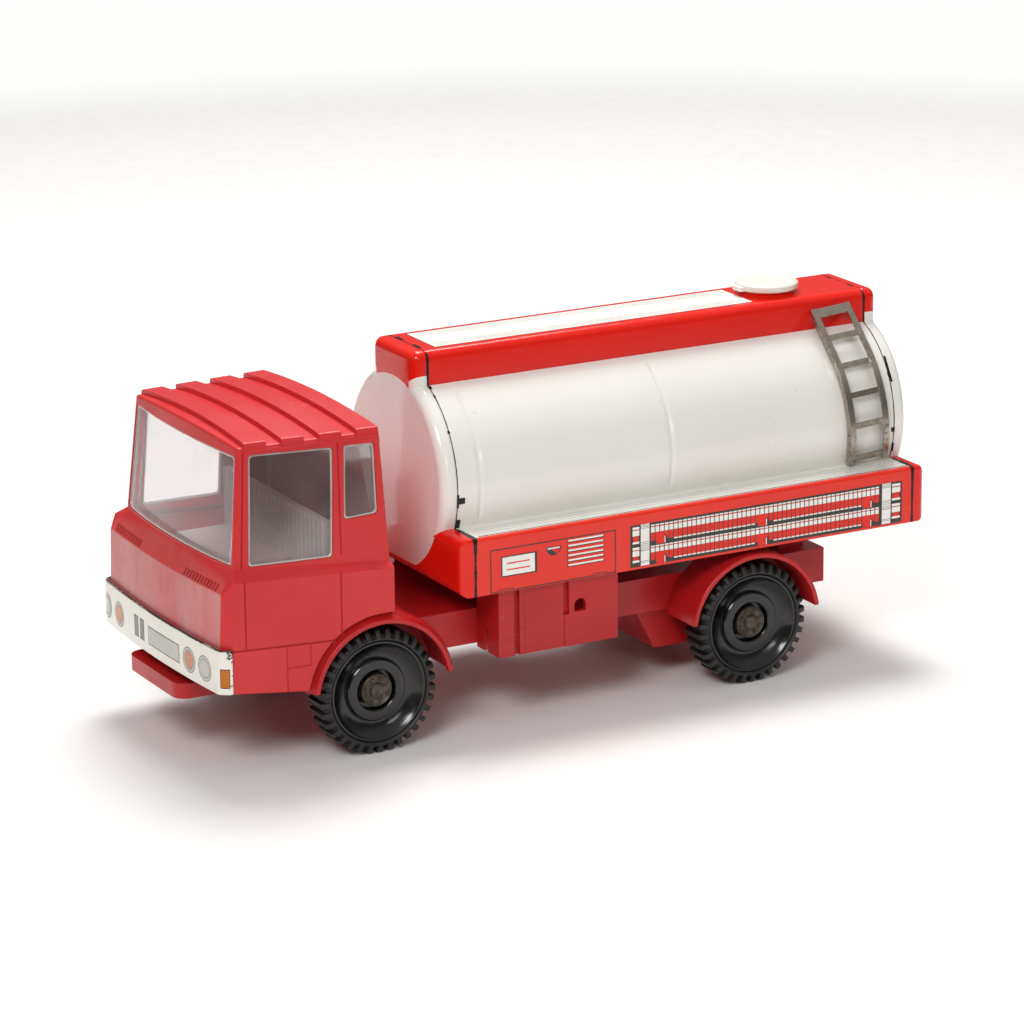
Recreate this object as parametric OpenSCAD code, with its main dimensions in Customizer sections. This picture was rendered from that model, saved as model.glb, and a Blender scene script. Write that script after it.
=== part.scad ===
// Tin toy tanker truck: plastic cab and chassis, lithographed tin tank, friction drive.
// Millimetres. +Z up, the cab faces -Y, and the ground is z = 0.

/* [Overall] */
// Distance from the front step to the rear tank cap
truck_length = 272.8; // [272:0.1:273.6]
// Height of the wheel axles above the ground
axle_z = 21.2; // [21:0.1:21.4]
// Place of the front axle along the truck
front_axle_y = -75.95; // [-76.2:0.05:-75.7]
// Place of the rear axle along the truck
rear_axle_y = 67.25; // [67:0.05:67.5]

/* [Wheels] */
// Tread radius of a tyre
tyre_r = 21.2; // [21:0.1:21.4]
// Width of a tyre
tyre_w = 12; // [10.5:0.5:12]
// Outer side face of a tyre, from the middle plane
tyre_outer_x = 46.3; // [46:0.1:46.5]
// Radius of the moulded wheel under the tyre
wheel_r = 17.3; // [17:0.1:17.5]
// Number of tread blocks around a tyre
tread_blocks = 34; // [30:1:38]
// Radius of an axle rod
axle_r = 1.5; // [1.4:0.05:1.5]
// Radial clearance of an axle in its bearings
axle_clearance = 0.08; // [0.05:0.01:0.1]

/* [Chassis] */
// Half width of the frame channel
frame_half_w = 30; // [29.8:0.1:30.2]
// Height of the deck's top face
deck_z = 38.5; // [38.3:0.1:38.7]
// Height of the frame's lower edge
frame_bottom_z = 26.3; // [26.1:0.1:26.5]
// Wall thickness of the chassis moulding
frame_wall = 2; // [1.8:0.1:2.2]
// Rear end of the frame
frame_rear_y = 105.7; // [105:0.1:107]
// Outer radius of a wheel arch
arch_r = 25.4; // [25.2:0.1:25.6]
// Outer side face of a wheel arch
arch_outer_x = 48.3; // [47.8:0.1:48.5]
// Height at which the wheel arches end
arch_tip_z = 24.6; // [24:0.1:25.5]
// Outer side face of a side box
box_outer_x = 45.4; // [44.8:0.1:45.8]

/* [Cab] */
// Half width of the cab below its shoulder
cab_half_w = 46.8; // [46.6:0.1:46.8]
// Wall thickness of the cab moulding
cab_wall = 1.4; // [1.2:0.1:1.5]
// Edge radius of the cab moulding
cab_edge_r = 1.6; // [1.4:0.1:1.8]
// Highest point of the roof between its ribs
roof_z = 110.4; // [110:0.1:110.8]
// Height of a roof rib above the roof
rib_h = 1.3; // [1:0.1:1.5]
// Distance between roof ribs
rib_pitch = 12.9; // [12.5:0.1:13.1]

/* [Tank] */
// Half width of the tank's skirt
tank_half_w = 46.85; // [46.8:0.05:47]
// Lower edge of the skirt
skirt_bottom_z = 48.1; // [48:0.1:48.3]
// Height of the walkway on top of the skirt
walkway_z = 68; // [67.6:0.1:68.4]
// Radius of the barrel
barrel_r = 35; // [34.8:0.1:35.2]
// Height of the barrel's axis
barrel_z = 81; // [80.8:0.1:81.2]
// Half width of the box along the top of the tank
top_half_w = 14.9; // [14.6:0.1:15.2]
// Height of the tank's top
tank_top_z = 124.2; // [124:0.1:124.4]
// Thickness of the tin sheet
tin = 0.6; // [0.5:0.05:0.6]
// Depth of an end cap
cap_depth = 5.5; // [5.3:0.1:5.6]
// Place of the filler opening along the truck
filler_y = 100.3; // [99:0.1:101]
// Radius of the filler opening
filler_hole_r = 8; // [7.5:0.1:8.5]
// Height of the neck pressed up round the filler opening
filler_neck_h = 1.6; // [1.2:0.1:2]

/* [Friction drive] */
// Tooth size of the gears: pitch diameter over tooth count
gear_module = 0.6; // [0.6:0.01:0.6]
// Teeth of the two large gears
gear_teeth = 20; // [20:1:20]
// Teeth of the two pinions
pinion_teeth = 8; // [8:1:8]
// Radius of the flywheel
flywheel_r = 9.5; // [8.5:0.1:9.5]

/* [Hidden] */

$fn = 64;
eps = 0.01;

front_y = -truck_length / 2;
rear_y = truck_length / 2;

deck_inner_z = deck_z - frame_wall;
frame_front_y = -128;
tyre_inner_x = tyre_outer_x - tyre_w;
wheel_back_x = tyre_inner_x + 0.8;
hub_face_x = 40.5;
front_arch_y = front_axle_y + 1;
front_arch_z = axle_z - 0.2;
front_shoulder_r = arch_r + 1.5;

seam_gap = 0.05;
tank_front_y = front_y + 96.1;
tank_rear_y = rear_y - cap_depth - seam_gap;
front_bearer_y = -8;
rear_bearer_y = 96;
tab_x = 16;
tab_w = 4.6;
neck_t = 1.2;
rail_bend = 42;

bumper_face_y = front_y + 3.25;
bumper_bow = 1.8;
bumper_corner_r = 4;
bumper_straight_x = 43.3;
bumper_bottom_z = 29.5;
bumper_top_z = 44.6;
bumper_end_y = bumper_face_y + 4.7;

gear_r = gear_module * gear_teeth / 2;
pinion_r = gear_module * pinion_teeth / 2;
gear_distance = gear_r + pinion_r;
idler_angle = 150;
flywheel_angle = 192.5;
idler_y = rear_axle_y + gear_distance * cos(idler_angle);
idler_z = axle_z + gear_distance * sin(idler_angle);
flywheel_y = idler_y + gear_distance * cos(flywheel_angle);
flywheel_z = idler_z + gear_distance * sin(flywheel_angle);
cheek_x = 9;
cheek_t = 0.8;
small_shaft_r = 1;
first_mesh_x = 3;
second_mesh_x = -5;
gear_w = 3;

cab_post_x = 22;
cab_post_y = -77.5;
cab_post_r = 3.4;
cab_screw_hole_r = 1.3;
cab_rear_y = -69.9;
cab_foot_z = 24;
window_gap = 0.15;
liner_top_z = 106.2;
liner_foot_z = 68.9;
cut_x = 60;
motor_screw_ys = [46.5, 72.5];

frame_red = [0.62, 0.05, 0.07];
cab_red = [0.78, 0.09, 0.1];
litho_red = [0.85, 0.08, 0.05];
litho_white = [0.92, 0.91, 0.88];
black = [0.05, 0.05, 0.05];
steel = [0.5, 0.48, 0.44];
nylon = [0.9, 0.88, 0.8];
brass = [0.85, 0.65, 0.13];
seat_grey = [0.55, 0.52, 0.48];
clear_tint = [0.85, 0.92, 0.95, 0.35];

// ---------- helpers ----------

// Lays a solid drawn along Z down along X, with its own x and y going to Y and Z.
module along_x(x = 0, y = 0, z = 0) {
    translate([x, y, z])
        rotate([90, 0, 90])
            children();
}

// A bore or rod along X.
module rod_x(x0, x1, y, z, r) {
    along_x(x0, y, z)
        cylinder(h = x1 - x0, r = r);
}

// A box given by its lowest and highest corners.
module span(low, high) {
    translate(low)
        cube(high - low);
}

// The same solid on the left side, or mirrored to the right side.
module on_side(side) {
    if (side > 0) {
        children();
    } else {
        mirror([1, 0, 0])
            children();
    }
}

// ---------- chassis ----------

// Rounded step under the bumper.
module front_step() {
    half_w = 20.5;
    corner_r = 5;
    bottom_z = 21.1;
    top_z = frame_bottom_z + eps;
    back_y = -120;
    span([-half_w + corner_r, front_y, bottom_z], [half_w - corner_r, back_y, top_z]);
    span([-half_w, front_y + corner_r, bottom_z], [half_w, back_y, top_z]);
    for (side = [-1, 1]) {
        translate([side * (half_w - corner_r), front_y + corner_r, bottom_z])
            cylinder(h = top_z - bottom_z, r = corner_r);
    }
}

// Block on the deck that carries the tank.
module tank_bearer(y) {
    half_w = 24;
    half_d = 5;
    span([-half_w, y - half_d, deck_z - eps], [half_w, y + half_d, skirt_bottom_z]);
}

module chassis_frame() {
    lug_half_w = 6;
    slot_half_w = tab_w / 2 + 0.2;
    color(frame_red)
        difference() {
            union() {
                span([-frame_half_w, frame_front_y, frame_bottom_z], [frame_half_w, frame_rear_y, deck_z]);
                front_step();
                tank_bearer(front_bearer_y);
                tank_bearer(rear_bearer_y);
                for (side = [-1, 1]) {
                    on_side(side)
                        span([frame_half_w - 4, front_axle_y - lug_half_w, axle_z - 4],
                             [frame_half_w, front_axle_y + lug_half_w, frame_bottom_z + eps]);
                }
            }
            difference() {
                span([-frame_half_w + frame_wall, frame_front_y + frame_wall, frame_bottom_z - 1],
                     [frame_half_w - frame_wall, frame_rear_y - frame_wall, deck_inner_z]);
                span([-frame_half_w, frame_front_y, 0], [frame_half_w, -120, frame_bottom_z + eps]);
            }
            rod_x(-frame_half_w - 1, frame_half_w + 1, front_axle_y, axle_z, axle_r + axle_clearance);
            for (y = [front_bearer_y, rear_bearer_y]) {
                for (side = [-1, 1]) {
                    span([side * tab_x - slot_half_w, y - 0.45, 0],
                         [side * tab_x + slot_half_w, y + 0.45, skirt_bottom_z + 1]);
                }
            }
            for (y = motor_screw_ys) {
                translate([0, y, deck_inner_z - 1])
                    cylinder(h = 2.8, r = 1);
            }
            for (side = [-1, 1]) {
                translate([side * cab_post_x, cab_post_y, 0])
                    cylinder(h = deck_z + 1, r = cab_screw_hole_r);
            }
        }
}

// Wheel arch with an outer lip, a shoulder inside it and the cheek that closes it against the frame.
module fender(side, centre_y, centre_z, shoulder_r) {
    wall = 1.7;
    step = shoulder_r - arch_r;
    color(frame_red)
        on_side(side)
            intersection() {
                union() {
                    along_x(0, centre_y, centre_z)
                        rotate_extrude()
                            polygon([[shoulder_r - wall, frame_half_w + eps], [shoulder_r - wall, 44.4],
                                     [arch_r - wall, 46.2], [arch_r - wall, arch_outer_x], [arch_r, arch_outer_x],
                                     [arch_r, 47.4], [arch_r + 0.15 * step, 46.4], [arch_r + 0.45 * step, 45.6],
                                     [shoulder_r, 45.2], [shoulder_r, frame_half_w + eps]]);
                    difference() {
                        rod_x(frame_half_w + eps, frame_half_w + wall, centre_y, centre_z, shoulder_r - 0.2);
                        rod_x(frame_half_w - 1, arch_outer_x, centre_y, centre_z, 6);
                    }
                }
                span([0, centre_y - 40, arch_tip_z], [60, centre_y + 40, 60]);
            }
}

// Moulded locker between the wheels, hollow from below.
module side_box(side) {
    box_front_y = -31.2;
    box_rear_y = 14.2;
    bottom_z = 25;
    top_z = skirt_bottom_z - 0.2;
    wall = 1.8;
    inner_x = frame_half_w + eps;
    hole_y = -0.3;
    hole_r = 2.2;
    hole_z = 38.8;
    hole_foot_z = 36.7;
    deep = 0.7;
    shallow = 0.35;
    out_x = box_outer_x + 1;
    color(frame_red)
        on_side(side)
            difference() {
                span([inner_x, box_front_y, bottom_z], [box_outer_x, box_rear_y, top_z]);
                span([inner_x + wall, box_front_y + wall, bottom_z - 1],
                     [box_outer_x - wall, box_rear_y - wall, top_z - wall]);
                span([box_outer_x - deep, -27.3, bottom_z - 1], [out_x, -25.4, top_z + 1]);
                span([box_outer_x - shallow, -21.5, bottom_z - 1], [out_x, -7.6, top_z + 1]);
                span([box_outer_x - deep, -8.6, 36.4], [out_x, -6.8, top_z + 1]);
                span([box_outer_x - wall - 1, hole_y - hole_r, hole_foot_z], [out_x, hole_y + hole_r, hole_z]);
                rod_x(box_outer_x - wall - 1, out_x, hole_y, hole_z, hole_r);
                span([35.2, box_front_y - 1, bottom_z - 1], [37.6, box_front_y + wall + 1, 32.5]);
            }
}

// Tub under the frame that holds the friction drive and the rear axle.
module motor_housing() {
    half_w = 27;
    wall = 1.6;
    outer = [[31.5, frame_bottom_z], [39, 11.9], [86, 11.9], [94, frame_bottom_z]];
    inner = [[33.6, frame_bottom_z + 1], [40.2, 13.5], [85.2, 13.5], [92.4, frame_bottom_z + 1]];
    color(frame_red)
        difference() {
            along_x(-half_w)
                linear_extrude(2 * half_w)
                    polygon(outer);
            along_x(-half_w + wall)
                linear_extrude(2 * (half_w - wall))
                    polygon(inner);
            rod_x(-half_w - 1, half_w + 1, rear_axle_y, axle_z, axle_r + axle_clearance);
        }
}

// ---------- cab ----------

// Points across the cab: t runs from -1 to 1, bowed forwards and crowned upwards in the middle.
function bowed_row(half_w, y, z, bow, crown) =
    [for (i = [-4:4]) [half_w * i / 4, y - bow * (1 - pow(i / 4, 2)), z + crown * (1 - pow(i / 4, 2))]];

// Rounded solid around a list of points.
module rounded_hull(points, r) {
    hull() {
        for (p = points) {
            translate(p)
                sphere(r = r, $fn = 12);
        }
    }
}

// Upper part of the cab, from below the shoulder to the roof.
module cab_upper(inset, edge_r, lift = 0) {
    waist = [42.1, -125.6, 66];
    roof_front = [39.6, -121.6];
    roof_rear = [42.8, -72.6];
    rear_foot = [44.8, -70, 60];
    waist_bow = 2.9;
    roof_bow = 1.8;
    crown = 2;
    m = inset + edge_r;
    top = roof_z - crown - m + lift;
    rounded_hull(concat(
        bowed_row(waist.x - m, waist.y + m, waist.z, waist_bow, 0),
        bowed_row(roof_front.x - m, roof_front.y + m, top, roof_bow, crown),
        bowed_row(roof_rear.x - m, roof_rear.y - m, top, 0, crown),
        bowed_row(rear_foot.x - m, rear_foot.y - m, rear_foot.z, 0, 0)), edge_r);
}

// Lower part of the cab, with the sloped ledge under the windscreen.
module cab_lower(inset, edge_r) {
    foot = [43.3, -132.3];
    foot_bow = 1.8;
    crease = [44.3, -130.5, 62.1];
    crease_bow = 2;
    ledge = [41.9, -125.4, 69.7];
    ledge_bow = 2.9;
    side_foot_y = -129.2;
    shoulder_front = [-127.8, 66.6];
    shoulder_rear_z = 63.4;
    shoulder_w = 2.1;
    shoulder_top_z = 65.1;
    m = inset + edge_r;
    half_w = cab_half_w - m;
    back_y = cab_rear_y - m;
    rounded_hull(concat(
        bowed_row(foot.x - m, foot.y + m, cab_foot_z, foot_bow, 0),
        bowed_row(crease.x - m, crease.y + m, crease.z, crease_bow, 0),
        bowed_row(ledge.x - m, ledge.y + m, ledge.z - m, ledge_bow, 0),
        [for (side = [-1, 1]) each [
            [side * half_w, side_foot_y + m, cab_foot_z],
            [side * half_w, shoulder_front.x + m, shoulder_front.y - m],
            [side * half_w, back_y, cab_foot_z],
            [side * half_w, back_y, shoulder_rear_z - m],
            [side * (half_w - shoulder_w), back_y, shoulder_top_z - m]]]), edge_r);
}

// Trapezoid prisms across the roof, one for each rib.
module roof_ribs() {
    first_y = -119.4;
    rib_count = 4;
    rib_section = [[0, 0], [0.3, 20], [5.6, 20], [8.2, 0]];
    for (i = [0:rib_count - 1]) {
        along_x(-cut_x, first_y + i * rib_pitch, roof_z - 12)
            linear_extrude(2 * cut_x)
                polygon(rib_section);
    }
}

// Prisms through the window openings; gap makes them smaller all round.
module window_prisms(gap) {
    g = gap;
    // windscreen
    translate([0, -140, 0])
        rotate([90, 0, 0])
            mirror([0, 0, 1])
                linear_extrude(24)
                    polygon([[-39.6 + g, 70.8 + g], [39.6 - g, 70.8 + g], [37.4 - g, 105.4 - g],
                             [-37.4 + g, 105.4 - g]]);
    // door windows and quarter windows
    along_x(-cut_x)
        linear_extrude(2 * cut_x) {
            polygon([[-120 + g, 69.9 + g], [-91 - g, 69.2 + g], [-89.4 - g, 104.4 - g],
                     [-118 + g, 105.2 - g]]);
            polygon([[-85.8 + g, 81 + g], [-74.8 - g, 81.6 + g], [-75.2 - g, 103.8 - g],
                     [-84.8 + g, 104 - g]]);
        }
}

// Rows of cooling slots in the ledge under the windscreen.
module cab_vents() {
    slots_per_side = 12;
    first_x = 14.6;
    pitch = 2.3;
    middle_y = -130.9;
    slot_z = 65.4;
    slot_tilt = -54;
    slot = [1.1, 1.2, 4.2];
    for (side = [-1, 1]) {
        for (i = [0:slots_per_side - 1]) {
            x = side * (first_x + pitch * i);
            translate([x, middle_y + 2 * pow(x / 44, 2), slot_z])
                rotate([slot_tilt, 0, 0])
                    cube(slot, center = true);
        }
    }
}

// Door and panel lines pressed into both sides of the cab.
module cab_side_lines() {
    depth = 0.5;
    line_w = 0.6;
    door_line_ys = [-123.9, -89.7];
    crease_front = [-130, 43.7];
    crease_slope = -3.1;
    for (side = [-1, 1]) {
        on_side(side) {
            for (y = door_line_ys) {
                span([cab_half_w - depth, y, cab_foot_z - 4], [cab_half_w + 1, y + line_w, 70]);
            }
            translate([cab_half_w - depth, crease_front.x, crease_front.y])
                rotate([crease_slope, 0, 0])
                    cube([2, 40, line_w]);
        }
    }
}

module cab_shell() {
    arch_gap = 0.2;
    sill_front_z = 31;
    sill_slope = -7.2;
    post_top_z = 52;
    color(cab_red)
        difference() {
            union() {
                cab_upper(0, cab_edge_r);
                cab_lower(0, cab_edge_r);
                intersection() {
                    cab_upper(0.1, cab_edge_r, rib_h + 0.1);
                    roof_ribs();
                }
            }
            difference() {
                union() {
                    cab_upper(cab_wall, 0.3);
                    cab_lower(cab_wall, 0.3);
                }
                for (side = [-1, 1]) {
                    translate([side * cab_post_x, cab_post_y, 20])
                        cylinder(h = post_top_z - 20, r = cab_post_r);
                    span([side * cab_post_x - 0.8, cab_post_y, 20],
                         [side * cab_post_x + 0.8, cab_rear_y, post_top_z]);
                }
            }
            window_prisms(0);
            cab_vents();
            cab_side_lines();
            // sill, sloping down towards the wheel arch
            translate([-cut_x, -140, sill_front_z])
                rotate([sill_slope, 0, 0])
                    translate([0, -10, -40])
                        cube([2 * cut_x, 60, 40]);
            // frame tunnel and wheel arches
            span([-frame_half_w - arch_gap, -150, 0], [frame_half_w + arch_gap, -60, deck_z + 0.1]);
            span([-cut_x, -90, 0], [cut_x, -60, 34]);
            span([-cut_x, front_axle_y, 0], [cut_x, -60, axle_z + arch_r + arch_gap]);
            rod_x(-cut_x, cut_x, front_axle_y, axle_z, arch_r + arch_gap);
            for (side = [-1, 1]) {
                on_side(side) {
                    rod_x(frame_half_w, cut_x, front_arch_y, front_arch_z, front_shoulder_r + arch_gap);
                    span([frame_half_w, front_arch_y, 0],
                         [cut_x, -60, front_arch_z + front_shoulder_r + arch_gap]);
                }
            }
            for (side = [-1, 1]) {
                translate([side * cab_post_x, cab_post_y, 0])
                    cylinder(h = post_top_z - 3, r = cab_screw_hole_r, $fn = 24);
            }
        }
}

// Clear liner that fills the window openings from inside.
module cab_glazing() {
    liner_gap = 0.1;
    liner_t = 0.9;
    pane_inset = 0.5;
    color(clear_tint)
        difference() {
            union() {
                cab_upper(cab_wall + liner_gap, 0.3);
                intersection() {
                    cab_upper(pane_inset, 0.3);
                    window_prisms(window_gap);
                }
            }
            cab_upper(cab_wall + liner_gap + liner_t, 0.3);
            span([-cut_x, -140, 0], [cut_x, -60, liner_foot_z]);
            span([-cut_x, -140, liner_top_z], [cut_x, -60, liner_top_z + 14]);
        }
}

// Grey inner moulding: floor, dashboard, bench seat and ribbed backrest.
module bench_insert() {
    rib_count = 24;
    rib_pitch_x = 3.1;
    rib_w = 0.7;
    rib_first_x = -37.6;
    floor_z = 41.2;
    floor_t = 1.4;
    floor_top = floor_z + floor_t;
    floor_half_w = 44.6;
    seat_half_w = 38.5;
    seat_z = 60;
    back_y = -91;
    back_top_z = 79.5;
    front_edge_y = -124.6;
    seat_edge_y = -103.4;
    dash_top_z = 61;
    foot_x = 24;
    color(seat_grey) {
        span([-floor_half_w, front_edge_y, floor_z], [floor_half_w, seat_edge_y, floor_top]);
        span([-seat_half_w, seat_edge_y - 0.6, floor_z + 6.6], [seat_half_w, -88.4, floor_z + 8]);
        span([-seat_half_w, seat_edge_y - floor_t, floor_z], [seat_half_w, seat_edge_y, floor_z + 8]);
        span([-36, -110, floor_top - eps], [36, back_y + eps, seat_z]);
        span([-seat_half_w, back_y, floor_z + 6.6], [seat_half_w, -88.6, back_top_z]);
        span([-39, front_edge_y, floor_top - eps], [39, -118, dash_top_z]);
        for (i = [0:rib_count]) {
            x = rib_first_x + i * rib_pitch_x;
            span([x, back_y - 0.4, seat_z], [x + rib_w, back_y + eps, back_top_z - 0.5]);
        }
        for (x = [-foot_x, foot_x]) {
            span([x - 3, -120, deck_z + eps], [x + 3, -112, floor_z + eps]);
        }
    }
}

// Plan outline of the bumper: bowed front and rounded corners, moved inwards by inset.
function bumper_plan(inset) = concat(
    [for (i = [-6:6]) [bumper_straight_x * i / 6,
                       bumper_face_y + inset - bumper_bow * (1 - pow(i / 6, 2))]],
    [for (a = [-80:10:0]) [bumper_straight_x + (bumper_corner_r - inset) * cos(a),
                           bumper_face_y + bumper_corner_r + (bumper_corner_r - inset) * sin(a)]],
    [[bumper_straight_x + bumper_corner_r - inset, bumper_end_y],
     [-bumper_straight_x - bumper_corner_r + inset, bumper_end_y]],
    [for (a = [0:10:80]) [-bumper_straight_x - (bumper_corner_r - inset) * cos(a),
                          bumper_face_y + bumper_corner_r - (bumper_corner_r - inset) * sin(a)]]);

module front_bumper() {
    sheet = 0.45;
    color(litho_white)
        translate([0, 0, bumper_bottom_z])
            difference() {
                linear_extrude(bumper_top_z - bumper_bottom_z)
                    polygon(bumper_plan(0));
                translate([0, eps, -1])
                    linear_extrude(bumper_top_z - bumper_bottom_z + 2)
                        polygon(bumper_plan(sheet));
                span([-60, bumper_end_y - 0.4, -1], [60, bumper_end_y + 1, 20]);
            }
}

// ---------- tank ----------

// Half section of the tank from the skirt's foot to the top's edge, moved inwards by inset.
function tank_half(inset, foot_z) =
    let (
        r = barrel_r - inset,
        ledge = walkway_z - inset,
        box_x = top_half_w - inset,
        start = asin((ledge - barrel_z) / r),
        end = acos(box_x / r),
        corner = 3
    )
    concat(
        [[tank_half_w - inset, foot_z], [tank_half_w - inset, ledge - 0.8], [tank_half_w - inset - 0.8, ledge]],
        [for (i = [0:24])
            let (a = start + (end - start) * i / 24)
                [r * cos(a), barrel_z + r * sin(a)]],
        [for (a = [0:15:90]) [box_x - corner + corner * cos(a), tank_top_z - inset - corner + corner * sin(a)]]);

function mirrored(points) = [for (i = [len(points) - 1:-1:0]) [-points[i][0], points[i][1]]];

function tank_section(inset, foot_z) = concat(tank_half(inset, foot_z), mirrored(tank_half(inset, foot_z)));

// The tank's section, extruded from y0 to y1.
module tank_prism(y0, y1, inset, foot_z) {
    translate([0, y1, 0])
        rotate([90, 0, 0])
            linear_extrude(y1 - y0)
                polygon(tank_section(inset, foot_z));
}

module tank_shell() {
    color(litho_white)
        difference() {
            union() {
                difference() {
                    tank_prism(tank_front_y, tank_rear_y, 0, skirt_bottom_z);
                    tank_prism(tank_front_y - 1, tank_rear_y + 1, tin, skirt_bottom_z - 1);
                }
                translate([0, filler_y, tank_top_z - tin])
                    cylinder(h = tin + filler_neck_h, r = filler_hole_r + neck_t);
            }
            translate([0, filler_y, tank_top_z - 2])
                cylinder(h = filler_neck_h + 4, r = filler_hole_r);
        }
}

// Pressed end cap, its edge rounded in steps; direction 1 points to the rear.
module end_cap(seam_y, direction) {
    steps = [[0, 3.3, 0], [3.2, 4.4, 0.35], [4.3, 5.1, 0.9], [5, cap_depth, 1.8]];
    color(litho_red)
        translate([0, seam_y, 0])
            mirror([0, direction > 0 ? 0 : 1, 0])
                difference() {
                    for (s = steps) {
                        tank_prism(s[0], s[1], s[2], skirt_bottom_z + s[2]);
                    }
                    tank_prism(-1, cap_depth - tin, 2.4, skirt_bottom_z + 2.4);
                    tank_prism(-1, 3, tin, skirt_bottom_z + tin);
                }
}

module tank_front_cap() {
    end_cap(tank_front_y - seam_gap, -1);
}

module tank_rear_cap() {
    end_cap(tank_rear_y + seam_gap, 1);
}

// Base plate inside the skirt, with tabs bent over under the deck.
module tank_floor() {
    sheet = 0.5;
    color(steel) {
        span([-tank_half_w + tin + 0.05, tank_front_y + 0.1, skirt_bottom_z + eps],
             [tank_half_w - tin - 0.05, tank_rear_y - 0.1, skirt_bottom_z + tin]);
        for (y = [front_bearer_y, rear_bearer_y]) {
            for (side = [-1, 1]) {
                span([side * tab_x - tab_w / 2, y - sheet / 2, deck_inner_z - sheet - 0.05],
                     [side * tab_x + tab_w / 2, y + sheet / 2, skirt_bottom_z + 0.2]);
                span([side * tab_x - tab_w / 2, y - sheet / 2, deck_inner_z - sheet - 0.05],
                     [side * tab_x + tab_w / 2, y + 3.5, deck_inner_z - 0.05]);
            }
        }
    }
}

// Side outline of a ladder rail: it follows the barrel, then runs straight past the top box.
function rail_line(r, rise) = concat(
    [for (a = [-19.6:6.16:rail_bend]) [r * cos(a), barrel_z + r * sin(a)]],
    [[r * cos(rail_bend) - rise * sin(rail_bend), barrel_z + r * sin(rail_bend) + rise * cos(rail_bend)]]);

module ladder() {
    rail_r = 38.3;
    rail_d = 2.4;
    rail_t = 0.7;
    flange_w = 2.2;
    flange_t = 0.6;
    width = 15.7;
    foot_y = 111.9;
    lean = 4;
    rise_outside = 18.2;
    rise_inside = 15.6;
    rung_r = rail_r - 0.7;
    rungs = [[-16.2, 0, 2], [2.3, 0, 2], [18.7, 0, 2], [35, 0, 2], [rail_bend, 6.5, 2], [rail_bend, 16, 3.2]];
    outer = rail_line(rail_r, rise_outside);
    inner = rail_line(rail_r - rail_d, rise_inside);
    under = rail_line(rail_r - flange_t, rise_outside);
    last = len(outer) - 1;
    color(steel)
        difference() {
            translate([0, foot_y, walkway_z])
                rotate([lean, 0, 0])
                    translate([0, 0, -walkway_z]) {
                        for (y = [0, width - rail_t]) {
                            translate([0, y + rail_t, 0])
                                rotate([90, 0, 0])
                                    linear_extrude(rail_t)
                                        polygon(concat(outer, [for (i = [last:-1:0]) inner[i]]));
                        }
                        for (y = [0, width - flange_w]) {
                            translate([0, y + flange_w, 0])
                                rotate([90, 0, 0])
                                    linear_extrude(flange_w)
                                        polygon(concat(outer, [for (i = [last:-1:0]) under[i]]));
                        }
                        for (rung = rungs) {
                            translate([rung_r * cos(rung[0]) - rung[1] * sin(rung[0]), 0,
                                       barrel_z + rung_r * sin(rung[0]) + rung[1] * cos(rung[0])])
                                rotate([0, -rung[0], 0])
                                    translate([-0.5, 0.3, -1])
                                        cube([1, width - 0.6, rung[2]]);
                        }
                    }
            span([0, 90, 60], [60, 140, walkway_z + 0.05]);
        }
}

// Push-in stopper with a finger tab.
module filler_cap() {
    lid_r = 11;
    lid_bottom_z = tank_top_z + filler_neck_h + 0.15;
    plug_r = filler_hole_r - 0.1;
    color(litho_white)
        translate([0, filler_y, 0]) {
            translate([0, 0, lid_bottom_z])
                cylinder(h = 2.4, r = lid_r);
            translate([0, 0, lid_bottom_z + 2.4 - eps])
                cylinder(h = 0.6, r = lid_r - 1);
            span([-2.4, -lid_r - 1.6, lid_bottom_z], [2.4, -lid_r + 1, lid_bottom_z + 1.8]);
            translate([0, 0, lid_bottom_z - 5])
                difference() {
                    cylinder(h = 5 + eps, r = plug_r);
                    translate([0, 0, -1])
                        cylinder(h = 5.5, r = plug_r - 1.2);
                }
        }
}

// ---------- wheels ----------

module axle_rod(axle_y) {
    color(steel)
        rod_x(-hub_face_x + 0.02, hub_face_x - 0.02, axle_y, axle_z, axle_r);
}

// Moulded wheel with a concave dish, a hub ring and a recess for the hub cap.
module wheel(side, axle_y) {
    color(black)
        on_side(side)
            along_x(0, axle_y, axle_z)
                rotate_extrude()
                    polygon([[axle_r, wheel_back_x], [wheel_r, wheel_back_x], [wheel_r, 45.3],
                             [wheel_r - 0.3, 45.6], [wheel_r - 0.9, 45.6], [wheel_r - 1.2, 45.2],
                             [14.6, 43.9], [12.8, 43], [10.9, 42.5], [10.6, 42.6], [10.5, 43.7],
                             [10.2, 44.1], [7.2, 44.1], [6.9, 43.8], [6.9, hub_face_x], [axle_r, hub_face_x]]);
}

// Outline of the tread blocks around the tyre.
function tread_outline(r, depth) = [
    for (i = [0:tread_blocks - 1])
        for (p = [[-0.3, 0], [-0.25, depth], [0.25, depth], [0.3, 0]])
            let (a = (i + 0.5 + p[0]) * 360 / tread_blocks, q = r - depth + p[1])
                [q * cos(a), q * sin(a)]];

module tyre(side, axle_y) {
    block_h = 1.5;
    color(black)
        on_side(side)
            along_x(0, axle_y, axle_z)
                intersection() {
                    translate([0, 0, tyre_inner_x - 1])
                        linear_extrude(tyre_w + 2)
                            polygon(tread_outline(tyre_r, block_h));
                    rotate_extrude()
                        polygon([[wheel_r + 0.02, tyre_inner_x], [tyre_r - 3.4, tyre_inner_x],
                                 [tyre_r - 1.2, tyre_inner_x + 0.5], [tyre_r + 0.5, tyre_inner_x + 1.9],
                                 [tyre_r + 0.5, tyre_outer_x - 1.9], [tyre_r - 1.2, tyre_outer_x - 0.5],
                                 [tyre_r - 3.4, tyre_outer_x], [wheel_r + 0.02, tyre_outer_x]]);
                }
}

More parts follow.
